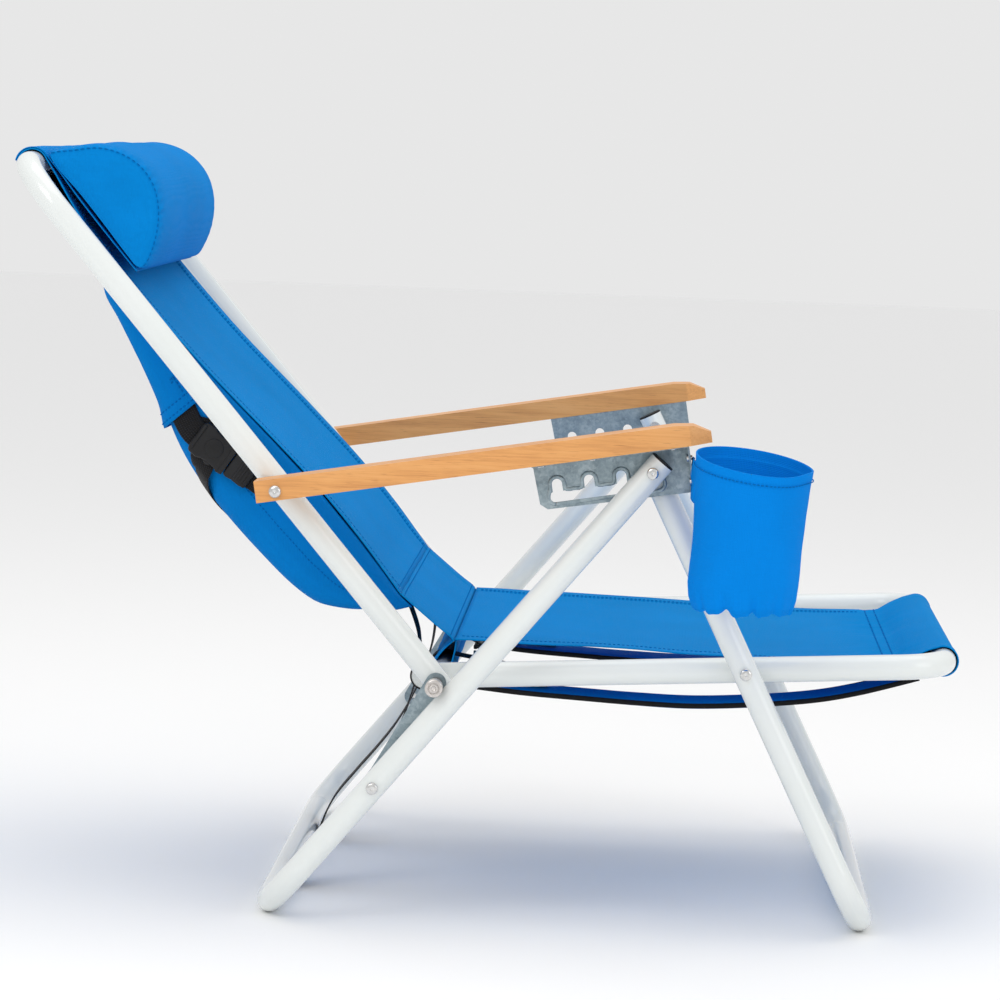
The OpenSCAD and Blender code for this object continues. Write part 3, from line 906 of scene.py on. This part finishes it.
def pouch_section(s, b, grow=0.0):
    """One slice of the pouch: its outline from edge to edge, behind the sling."""
    front = pouch_depth(s)
    half = []
    for y, share in HALF_SECTION:
        depth = front + (b - grow - front) * share
        dip = 1.8 * noise.noise(Vector((s * 0.013, y * 0.015, 2.2))) * share
        half.append((y + grow * min(1, share * 2) * ease((y - 100) / 60), depth + dip))
    other = [
        (-y, d + 1.2 * math.sin(s * 0.03 + y * 0.02) * (share > 0.9))
        for (y, d), (_, share) in zip(half, HALF_SECTION)]
    return spline([Vector((y, 0, d)) for y, d in other[:-1] + half[::-1]], 5.0)


def pouch_shell(name, profile, grow, flare, thickness):
    """A shell behind the sling: gussets and back panel in one. Gives the piece, its flat width and
    length, and its rows of points."""
    verts, uvs = [], []
    count, run = 97, 0.0
    for k, point in enumerate(profile):
        if k:
            run += (profile[k] - profile[k - 1]).length
        line = pouch_section(point.x, point.z, grow + flare(point.x))
        where = lengths(line)
        i = 0
        for j in range(count):
            target = where[-1] * j / (count - 1)
            while i < len(where) - 2 and where[i + 1] < target:
                i += 1
            t = min(1, (target - where[i]) / max(1e-9, where[i + 1] - where[i]))
            p = line[i].lerp(line[i + 1], t)
            verts.append(back(point.x, p.z, p.x))
            uvs.append(((target - where[-1] / 2) / 1000, run / 1000))
    rows = [verts[k * count:(k + 1) * count] for k in range(len(profile))]
    thing = make_object(name, verts, grid_faces(len(rows), count, closed=False), MAT["pouch"], uvs)
    return thicken(thing, thickness), (max(lengths(row)[-1] for row in rows), run / 1000), rows


def pouch_at(s, share, side, grow=0.0, lift=0.6):
    """A point just off the pouch at s and one share of its half-section, and the normal there."""
    ys, shares = zip(*HALF_SECTION)
    y = float(np.interp(share, shares, ys))
    front, b = pouch_depth(s), float(np.interp(s, *zip(*POUCH_BACK)))
    depth = front + (b - grow - front) * share
    turn = ease((share - 0.72) / 0.26)
    normal = (Vector((0, side, 0)) * (1 - turn) - BACK_N * turn).normalized()
    return back(s, depth, side * (y + grow * (1 - turn))) + normal * lift / 1000, normal


def on_pouch(side, a, b, c):
    """A point beside the pouch: a down the backrest from the buckle's top, b outwards, c forwards."""
    return back(295, -41, side * (169 + b)) + BUCKLE_A * (a / 1000) + BUCKLE_C * (c / 1000)


POUCH_HEM = 317


def flap_profile():
    """The flap's rear line, from its hem upwards."""
    line = spline([Vector((s, 0, n)) for s, n in POUCH_BACK if s > POUCH_HEM + 8], 5.0)
    first = Vector((POUCH_HEM, 0, float(np.interp(POUCH_HEM, *zip(*POUCH_BACK)))))
    return spline([first, line[0], *line[4::4], line[-1]], 4.0)


def hem_flare(s):
    """How far the flap stands off the pouch towards its hem, in millimetres."""
    return 2.6 * ease((POUCH_HEM + 24 - s) / 24) + 0.7 * bell(s, POUCH_HEM + 2, 5)


def flap_run(points):
    """Thread along one row of the flap, on its outer face."""
    run = []
    for k, p in enumerate(points):
        normal = tangent_at(points, k).cross(BACK_S).normalized()
        if normal.dot(-BACK_N) < 0 and abs(p.y) < 0.16:
            normal = -normal
        if abs(p.y) >= 0.16 and normal.y * p.y < 0:
            normal = -normal
        run.append((p + normal * 0.0006, normal))
    return run


def cross_stitch(side):
    """The boxed cross that holds a strap to the flap."""
    marks = []
    for a, c in ((-9, -9), (9, -9), (9, 9), (-9, 9), (-9, -9), (9, 9), (9, -9), (-9, 9)):
        share = (-34 + c - pouch_depth(338)) / (-51 - pouch_depth(338))
        marks.append(pouch_at(338 + a, share, side, 3.2, 1.2))
    return marks


def pouch():
    """The pouch behind the backrest, its flap, straps and two side-release buckles."""
    rear = ("hinge_hub", "backrest")
    profile = spline([Vector((s, 0, n)) for s, n in POUCH_BACK], 5.0)
    shell, flat, _ = pouch_shell("pouch_shell", profile, 0.0, lambda s: 0.0, 0.0011)
    finish_piece(shell, rear, "pouch_fabric", "storage_pouch", span=BACK_FOLD)
    flap, flat, rows = pouch_shell("pouch_flap", flap_profile(), 3.2, hem_flare, 0.0012)
    finish_piece(flap, "backrest", "pouch_fabric")
    seams = [[pouch_at(96 + 5.4 * k, 0.62, side) for k in range(41)] for side in (-1, 1)]
    sew("pouch_seam_stitches", seams, rear, "pouch_fabric", span=BACK_FOLD)
    runs = [flap_run(rows[1]), flap_run(rows[3]), cross_stitch(-1), cross_stitch(1)]
    sew("pouch_stitches", runs, "backrest", "pouch_fabric", 0.0042, 0.0030, 0.0005)
    for side, hand in SIDES:
        pouch_straps(side, hand)
        buckle(side, hand)


def pouch_straps(side, hand):
    """The webbing above a buckle, over the pouch, and the free strap under the buckle."""
    def web(name, line, normals):
        return ribbon(name, line, *POUCH_WEB, MAT["web"], normals)

    out = [Vector((0, side, 0))]
    path = [(4, 2.8, 0), (-3, 2.6, 0.6), (-9, 1.7, 2.5), (-16, 1.1, 6), (-25, 0.9, 11)]
    line = spline([on_pouch(side, *p) for p in path], 0.003)
    straps = [web("strap", line, out * len(line))]
    path = [
        (298, 0.44), (291, 0.55), (283, 0.68), (275, 0.80), (266, 0.90), (257, 0.96), (246, 0.99),
        (232, 1.005)]
    marks = [pouch_at(s, share, side, 0, 2.2) for s, share in path]
    line = spline([p for p, _ in marks], 0.004)
    normals = []
    for p in line:
        near = sorted(marks, key=lambda m: (m[0] - p).length)[:2]
        weights = [1 / (0.001 + (m[0] - p).length) for m in near]
        normals.append((near[0][1] * weights[0] + near[1][1] * weights[1]).normalized())
    straps.append(web("strap", line, normals))
    nodes = ("pouch_webbing",) if side < 0 else ()
    finish_piece(join("pouch_straps_" + hand, straps), "backrest", "webbing", *nodes)
    line = spline([on_pouch(side, a, b, 0) for a, b in ((58, 2.8), (64, 2.5), (72, 1.9), (84, 1.3))], 0.003)
    lower = finish_piece(web("pouch_lower_strap_" + hand, line, out * len(line)), "backrest", "webbing")
    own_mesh(lower)


def buckle(side, hand):
    """A side-release buckle: a socket with a round boss, a lip and a bar, and a ribbed tongue with two
    prongs."""
    def place(x, y, z):
        return on_pouch(side, x, 4.5 + z + 1.6 * (1 - ((x - 31) / 31) ** 2), y)

    def raised(by):
        return lambda x, y, z: place(x, y, z + by)

    def mirrored(points):
        return points + [(x, -y) for x, y in reversed(points)]

    shell = [(0, -12), (2.5, -15.5), (11, -16), (15, -14.2), (22, -13.2), (29, -14.2), (33, -16), (38, -15.6)]
    disc = [(20 + 8.5 * math.cos(math.tau * k / 28), 8.5 * math.sin(math.tau * k / 28)) for k in range(28)]
    parts = [
        outline_block("body", mirrored(shell), place, 8.4, 0.0018, 3),
        outline_block("disc", disc, raised(4.0), 1.6, 0.0006),
        outline_block("lip", mirrored([(33.5, -15.2), (38.2, -15.0)]), raised(4.2), 1.4, 0.0005),
        outline_block("bar", mirrored([(1.2, -12.5), (4.2, -13)]), raised(4.3), 1.8, 0.0007)]
    socket = join("buckle_socket_body_" + hand, parts)
    finish_piece(socket, "backrest", "black_plastic", "buckle_socket_" + hand)

    body = [(38.7, -13.2), (42, -14.6), (48, -13.6), (56, -14.2), (61, -13.4), (62, -11.5)]
    parts = [outline_block("body", mirrored(body), place, 6.6, 0.0014, 3)]
    for x in (47.5, 52.5, 58.0):
        rib = mirrored([(x, -11.5), (x + 2.2, -11.5)])
        parts.append(outline_block("rib", rib, raised(3.4), 1.6, 0.0006))
    prong = [
        (40, 9.5), (30, 10.5), (26, 12.2), (24.5, 15.6), (20, 15.9), (14.5, 12.5), (14, 10), (18, 9), (40, 7)]
    for end in (-1, 1):
        parts.append(outline_block("prong", [(x, end * y) for x, y in prong], place, 4.2, 0.0007))
    tongue = join("buckle_tongue_body_" + hand, parts)
    finish_piece(tongue, "buckle_" + hand, "black_plastic", "buckle_tongue_" + hand)


# ---------------------------------------------------------------- drink bag

BAG_Y = -0.3405
BAG_SIDE = [
    # depth below the rim, middle X, half width
    (0, 262.6, 49.2), (12, 261.9, 48.4), (37, 260.6, 47.0), (69, 259.4, 46.0), (90, 257.8, 46.4),
    (104, 257.0, 46.3), (114, 257.0, 45.0), (121, 257.4, 42.6)]
BAG_DEPTH, BASE_X, BASE_HALF = BAG_SIDE[-1]
BASE_Z = 293.5
BAG_HEM = 8.6
BAG_LEVELS = [0, 1, 2.5, 5, 7.5, BAG_HEM, 9.4, 10.4, 12, 15] + [20 + 5 * k for k in range(17)]
BAG_LEVELS += [103.5, 107, 110.5, 114, 117.5, BAG_DEPTH]
# share of the base's radius, and how far that ring is above the base's edge
BASE_RINGS = [
    (0.975, -4.6), (0.94, -5.6), (0.88, -5.0), (0.78, -2.4), (0.62, 0.4), (0.42, 1.6), (0.2, 2.2),
    (0.04, 2.4)]
# where the base is gathered: eight uneven tucks, each its angle, width and depth
BAG_TUCKS = [
    (-2.5, 0.07, 0.6), (-1.95, 0.10, 1.1), (-1.38, 0.06, 0.8), (-0.9, 0.09, 0.5), (-0.35, 0.05, 0.7),
    (0.6, 0.09, 0.9), (1.7, 0.11, 1.0), (2.6, 0.09, 0.8)]


def tuck_depth(angle):
    """How deeply the base of the bag is tucked in at an angle round it."""
    total = 0.0
    for middle, wide, weight in BAG_TUCKS:
        gap = (angle - middle + math.pi) % math.tau - math.pi
        total += weight * (bell(gap, 0, wide) - 0.3 * bell(gap, wide * 2.2, wide))
    return total


def bag_wall(h, angle):
    """A point of the bag's wall, h millimetres down from its rim."""
    hs, mids, halves = zip(*BAG_SIDE)
    mid, half = float(np.interp(h, hs, mids)), float(np.interp(h, hs, halves))
    t = h / BAG_DEPTH
    c, sn = math.cos(angle), math.sin(angle)
    slack = noise.noise(Vector((c * 1.7, sn * 1.7, h * 0.02)))
    fine = noise.noise(Vector((c * 5, sn * 5, h * 0.05 + 7)))
    r = half + (0.9 * slack + 0.35 * fine) * ease(h / 40)
    r += 0.25 * ease((9.6 - h) / 0.8) - 0.3 * bell(h, 9.2, 0.8)
    tuck = tuck_depth(angle) * ease((h - 97) / 24)
    r -= 2.6 * tuck
    rim = 413.5 + 6.9 * sn - 6.2 * c + 2.2 * bell((angle - 2.7) % math.tau, math.pi, 0.4)
    z = rim * (1 - t) + BASE_Z * t
    z -= 0.7 * ease((h - 104) / 17) * (1 - tuck) + 1.6 * ease((h - 90) / 31) * math.sin(2 * angle + 0.6)
    return Vector(((mid + r * c) / 1000, BAG_Y + r * sn / 1000, z / 1000))


def bag():
    """A tapered fabric cup with a hemmed mouth, slack sides and a tucked base, and its hanging tab."""
    count = 144
    angles = [math.tau * k / count for k in range(count)]
    verts, uvs = [], []
    for h in BAG_LEVELS:
        verts += [bag_wall(h, angle) for angle in angles]
        uvs += [(angle * 0.048, -h / 1000) for angle in angles]
    for size, drop in BASE_RINGS:
        for angle in angles:
            tuck = tuck_depth(angle)
            r = (BASE_HALF - 2.6 * tuck) * size
            crease = 2.4 * tuck * (size > 0.7)
            verts.append(Vector((
                (BASE_X + r * math.cos(angle)) / 1000, BAG_Y + r * math.sin(angle) / 1000,
                (BASE_Z + drop * (1 - 0.4 * tuck) + crease) / 1000)))
            uvs.append((r * math.cos(angle) / 1000, r * math.sin(angle) / 1000))
    faces = grid_faces(len(BAG_LEVELS) + len(BASE_RINGS), count)
    faces.append(tuple(range(len(verts) - count, len(verts))))
    cup = thicken(make_object("drink_bag", verts, faces, MAT["bag"], uvs), 0.0015, 1.0)
    finish_piece(cup, "arm_right", "bag_fabric", "cup_bag")
    first = BAG_LEVELS.index(BAG_HEM) * count
    row = verts[first:first + count]
    run = [(v + outward(v) * 0.0010, outward(v)) for v in row + row[:1]]
    sew("bag_stitches", [run], "arm_right", "bag_fabric", 0.0036, 0.0026, 0.00045)

    count, wide, high = 13, 0.053, 0.035
    verts, uvs = [], []
    for i in range(count):
        for j in range(count):
            y = -0.2885 - wide * i / 12
            z = 0.3770 + high * j / 12
            x = 0.2112 + 0.0012 * math.sin(i * 0.5) * math.sin(j * 0.6) + 0.0026 * (i / 12) ** 2
            verts.append(Vector((x, y, z)))
            uvs.append((y, z))
    faces = grid_faces(count, count, closed=False)
    tab = thicken(make_object("bag_tab", verts, faces, MAT["bag"], uvs), 0.0014)
    finish_piece(tab, "arm_right", "bag_fabric")


def outward(point):
    """The direction out of the bag at a point of its wall."""
    return Vector((point.x - 0.258, point.y - BAG_Y, 0)).normalized()


# ---------------------------------------------------------------- shoulder straps and rear webbing

PAD_LINE = [
    (30, -16), (70, -19.5), (120, -22), (170, -24.2), (219, -25), (275, -21.5), (330, -15), (365, -7.5),
    (395, 1), (418, 8)]
# the ladder locks: their cross bars (forwards, upwards, width) and their two kinds of side rail
LOCK_BARS = [
    (15.5, -18.4, 34), (19.8, -16.6, 30), (25.6, -17.2, 34), (27, 9.6, 33), (33, 8.8, 33), (40, 8.0, 33)]
BAR_OUTLINE = [(-1.7, -1.9), (1.7, -1.9), (1.9, 1.7), (-1.5, 1.9)]
LOCK_RAILS = [
    ([(13.8, -20.8), (27.4, -19.8), (27.4, -16.2), (13.8, -16.8)], 15.4, 3.2),
    ([(25, 5.2), (42, 3.4), (42, 9.2), (25, 11.2)], 15.0, 3.0)]


def ladder_lock(y):
    """The plastic bars and rails that the carrying strap is threaded through."""
    def beside(x, z, away):
        return lambda a, b, c: near_hinge(x + a, z + b, y + c + away)

    blocks = [outline_block("bar", BAR_OUTLINE, beside(x, z - 0.8, 0), wide) for x, z, wide in LOCK_BARS]
    for end in (-1, 1):
        for rail, away, wide in LOCK_RAILS:
            blocks.append(outline_block("rail", rail, beside(0, 0, end * away), wide))
    return blocks


def shoulder_straps():
    """Two padded carrying straps under the seat with black bindings and ladder locks."""
    for side, hand in SIDES:
        y = side * 150
        line = near_line(PAD_LINE, y, 0.005)
        swell = lambda t: 0.35 + 0.75 * math.sqrt(max(0.0, math.sin(math.pi * min(1, max(0, t)))))
        pad = ribbon("pad", line, 0.054, 0.0078, MAT["strap"], bulge=swell)
        pad.modifiers.new("smooth", "SUBSURF").levels = 1
        apply_modifiers(pad)
        pad.name = "strap_pad_" + hand
        finish_piece(pad, "seat", "strap_fabric", "shoulder_strap_" + hand)
        edges = [ribbon("edge", sideways(line, edge * 26.8), 0.0042, 0.0046, MAT["web"]) for edge in (-1, 1)]
        around = sideways(wrap(HINGE, -60, -300, FORWARD, UP, 0.0118, 24), y)
        low = [near_hinge(x, z, y) for x, z in ((27, -17.5), (20, -16.8), (12, -13.2))]
        high = [(12.5, 9.0), (22, 7.4), (40, 5.4), (60, 0.5), (78, -8), (92, -15.5)]
        high = [near_hinge(x, z, y) for x, z in high]
        line = spline(low + around[2:-2:3] + high, 0.004)
        edges.append(ribbon("web", line, *CARRY_WEB, MAT["web"]))
        finish_piece(join("strap_binding_" + hand, edges), "seat", "webbing")
        nodes = ("strap_adjusters",) if side < 0 else ()
        finish_piece(join("ladder_lock_" + hand, ladder_lock(y)), "seat", "black_plastic", *nodes)


TIE_TOP = [(-35.5, 54), (-30, 41), (-25, 26), (-23.3, 14)]
TIE_MIDDLE = [(-23.3, 15), (-23.2, 2), (-25, -14), (-28.6, -29)]
TIE_BOTTOM = [
    (-28.2, -27.5), (-35.5, -51), (-46, -74), (-58.5, -95.5), (-73.6, -116), (-94, -141), (-112, -164.5),
    (-122, -185), (-127.2, -202)]


def rear_webbing():
    """Two webbing ties from the foot of the back panel down to the bar between the rear legs."""
    head, waist, foot = near_hinge(-35.5, 54), near_hinge(-23.3, 14), near_hinge(-28.6, -29)
    for side, hand in SIDES:
        y = side * 125

        def tie(name, line):
            return ribbon(name + hand, line, *TIE_WEB, MAT["web"])

        piece = tie("tie_top_", near_line(TIE_TOP, y, 0.004))
        finish_piece(piece, ("hinge_hub", "backrest"), "webbing", span=(waist, head))
        piece = tie("tie_middle_", near_line(TIE_MIDDLE, y, 0.004))
        finish_piece(piece, ("seat", "hinge_hub"), "webbing", span=(foot, waist))
        piece = finish_piece(tie("tie_bottom_", near_line(TIE_BOTTOM, y, 0.004)), "seat", "webbing")
        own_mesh(piece)
        around = wrap(REAR_BAR, 205, 340, FORWARD, UP, TUBE_R + 0.0013, 26)
        piece = tie("tie_loop_", sideways(around, y))
        for vertex in piece.data.vertices:
            vertex.co.z = max(vertex.co.z, 0.0004)
        nodes = ("tie_strap_loops",) if side < 0 else ()
        finish_piece(piece, "rear_legs", "webbing", *nodes)


# ---------------------------------------------------------------- camera, light and floor

def camera():
    """The fitted viewpoint: nearly side on, a little above the chair."""
    yaw, pitch, roll = (math.radians(v) for v in (-2.083, 5.016, 2.126))
    ahead = Vector((math.sin(yaw) * math.cos(pitch), math.cos(yaw) * math.cos(pitch), -math.sin(pitch)))
    level = Vector((math.cos(yaw), -math.sin(yaw), 0))
    over = level.cross(ahead)
    right = level * math.cos(roll) + over * math.sin(roll)
    above = over * math.cos(roll) - level * math.sin(roll)
    data = bpy.data.cameras.new("camera")
    data.lens, data.sensor_width = 152.2, 36.0
    data.clip_start, data.clip_end = 0.1, 60
    thing = bpy.data.objects.new("camera", data)
    bpy.context.scene.collection.objects.link(thing)
    thing.matrix_world = Matrix((
        (right.x, above.x, -ahead.x, 0.1792), (right.y, above.y, -ahead.y, -3.8651),
        (right.z, above.z, -ahead.z, 0.6827), (0, 0, 0, 1)))
    bpy.context.scene.camera = thing


def area_light(name, place, target, size, power):
    """A rectangular white light aimed at a target."""
    data = bpy.data.lights.new(name, "AREA")
    data.shape, data.size, data.size_y = "RECTANGLE", *size
    data.energy = power
    thing = bpy.data.objects.new(name, data)
    bpy.context.scene.collection.objects.link(thing)
    thing.location = place
    thing.rotation_euler = (Vector(target) - Vector(place)).to_track_quat("-Z", "Y").to_euler()


def studio():
    """A pale floor and sky, a large key from the camera's left and softer fills."""
    world = bpy.data.worlds.new("studio")
    bpy.context.scene.world = world
    world.use_nodes = True
    world.node_tree.nodes["Background"].inputs["Color"].default_value = (1, 1, 1, 1)
    world.node_tree.nodes["Background"].inputs["Strength"].default_value = 0.80
    bpy.context.scene.view_settings.view_transform = "Standard"
    area_light("key", (-1.2, -2.6, 2.4), (0, 0, 0.35), (1.8, 1.8), 22)
    area_light("fill", (2.4, -2.2, 1.3), (0.1, 0, 0.3), (1.6, 1.6), 10)
    area_light("top", (0.2, 0.2, 3.0), (0.05, 0, 0.3), (2.4, 2.4), 20)
    pale = new_material("floor", 0.75, Base_Color=(0.972, 0.972, 0.972, 1))[0]
    corners = [(-14, -14, 0), (14, -14, 0), (14, 14, 0), (-14, 14, 0)]
    floor = make_object("floor", corners, [(0, 1, 2, 3)], pale)


# ---------------------------------------------------------------- hardware details

# the side views of the heads: (share of the radius, share of the height)
DOME = [
    (1.0, 0.0), (1.0, 0.25), (0.95, 0.5), (0.84, 0.72), (0.66, 0.89), (0.44, 0.98), (0.24, 1.0), (0.14, 0.9),
    (0.06, 0.76)]
SOCKET = [
    (1.0, 0.0), (1.0, 0.6), (0.95, 0.85), (0.86, 0.97), (0.70, 1.0), (0.66, 0.94), (0.63, 0.4), (0.53, 0.35),
    (0.50, 0.9), (0.47, 0.97), (0.32, 0.97), (0.29, 0.9), (0.25, 0.2), (0.05, 0.15)]


def dome(place, side, radius, height, profile, material):
    """A round head turned to a profile of (share of radius, share of height)."""
    count = 36
    verts = []
    for share, rise in profile:
        for k in range(count):
            angle = math.tau * k / count
            verts.append(place + Vector((
                math.cos(angle) * radius * share, side * height * rise, math.sin(angle) * radius * share)))
    faces = grid_faces(len(profile), count)
    faces.append(tuple((len(profile) - 1) * count + k for k in range(count)))
    thing = make_object("dome", verts, faces, material)
    face_outwards(thing)
    return thing


RIVET = (0.0050, 0.0018, DOME, "rivet", "steel_rivet")
BOLT = (0.0076, 0.0016, SOCKET, "bolt", "bright_bolt")


def rivet_domes():
    """Domed heads on the flat rivet heads that face outwards, and socket heads on the hinge bolts."""
    for node, body, (radius, height, profile, key, slot) in (
            ("front_leg_rivets", "seat", RIVET), ("armrest_rivets", "arm_rivets", RIVET),
            ("link_rivets", "rear_legs", RIVET), ("pivot_pins_outer", "rear_legs", RIVET),
            ("hinge_bolts", "seat", BOLT)):
        low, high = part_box(node)
        middle = (low + high) / 2
        heads = [
            dome(Vector((middle.x, face, middle.z)), side, radius, height, profile, MAT[key])
            for side, face in ((-1, low.y), (1, high.y))]
        finish_piece(join(node + "_heads", heads), body, slot)


def slot_path():
    """The outline of a bracket's notched slot, a little outside its edge, in armrest millimetres."""
    pin, pitch, notch, roof, floor, grow = 318.0, 27.5, 4.4, -34.7, -42.7, 1.7
    first = pin - 3 * pitch
    r, up, low, mid = notch + grow, roof + grow, floor - grow, -38.7
    half = 4.0 + grow
    path = [(x, low) for x in np.linspace(first - 3, pin + 3, 15)]
    path += [(pin + 3 + half * math.sin(a), mid - half * math.cos(a)) for a in np.linspace(0.4, 1.9, 5)]
    for k in (3, 2, 1, 0):
        x = first + k * pitch
        path += [(x + r, -30.5)]
        path += [(x + r * math.cos(a), -27.5 + r * math.sin(a)) for a in np.linspace(0, math.pi, 9)]
        path += [(x - r, -30.5)]
        if k:
            path += [(x - r - 1.4, up), (x - pitch / 2, up), (x - pitch + r + 1.4, up)]
    path += [(first - 3 - half * math.sin(a), mid - half * math.cos(a)) for a in np.linspace(1.9, 0.4, 5)]
    return path


def bracket_beads():
    """The rounded bead pressed round the notched slot of each bracket."""
    path = slot_path()
    for side, hand in SIDES:
        low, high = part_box("bracket_" + hand)
        sheet_face = min(abs(low.y), abs(high.y)) + 0.0016
        line = spline([on_arm(a, h, side * sheet_face * 1000) for a, h in path + path[:1]], 0.0025)
        outwards = [Vector((0, side, 0))] * len(line)
        bead = ribbon("bracket_bead_" + hand, line, 0.0034, 0.0026, MAT["zinc"], outwards)
        finish_piece(bead, "arm_" + hand, "zinc_steel")


camera()
studio()
dress_cad_nodes()
sling()
sleeve()
head_pillow()
pouch()
bag()
shoulder_straps()
rear_webbing()
rivet_domes()
bracket_beads()
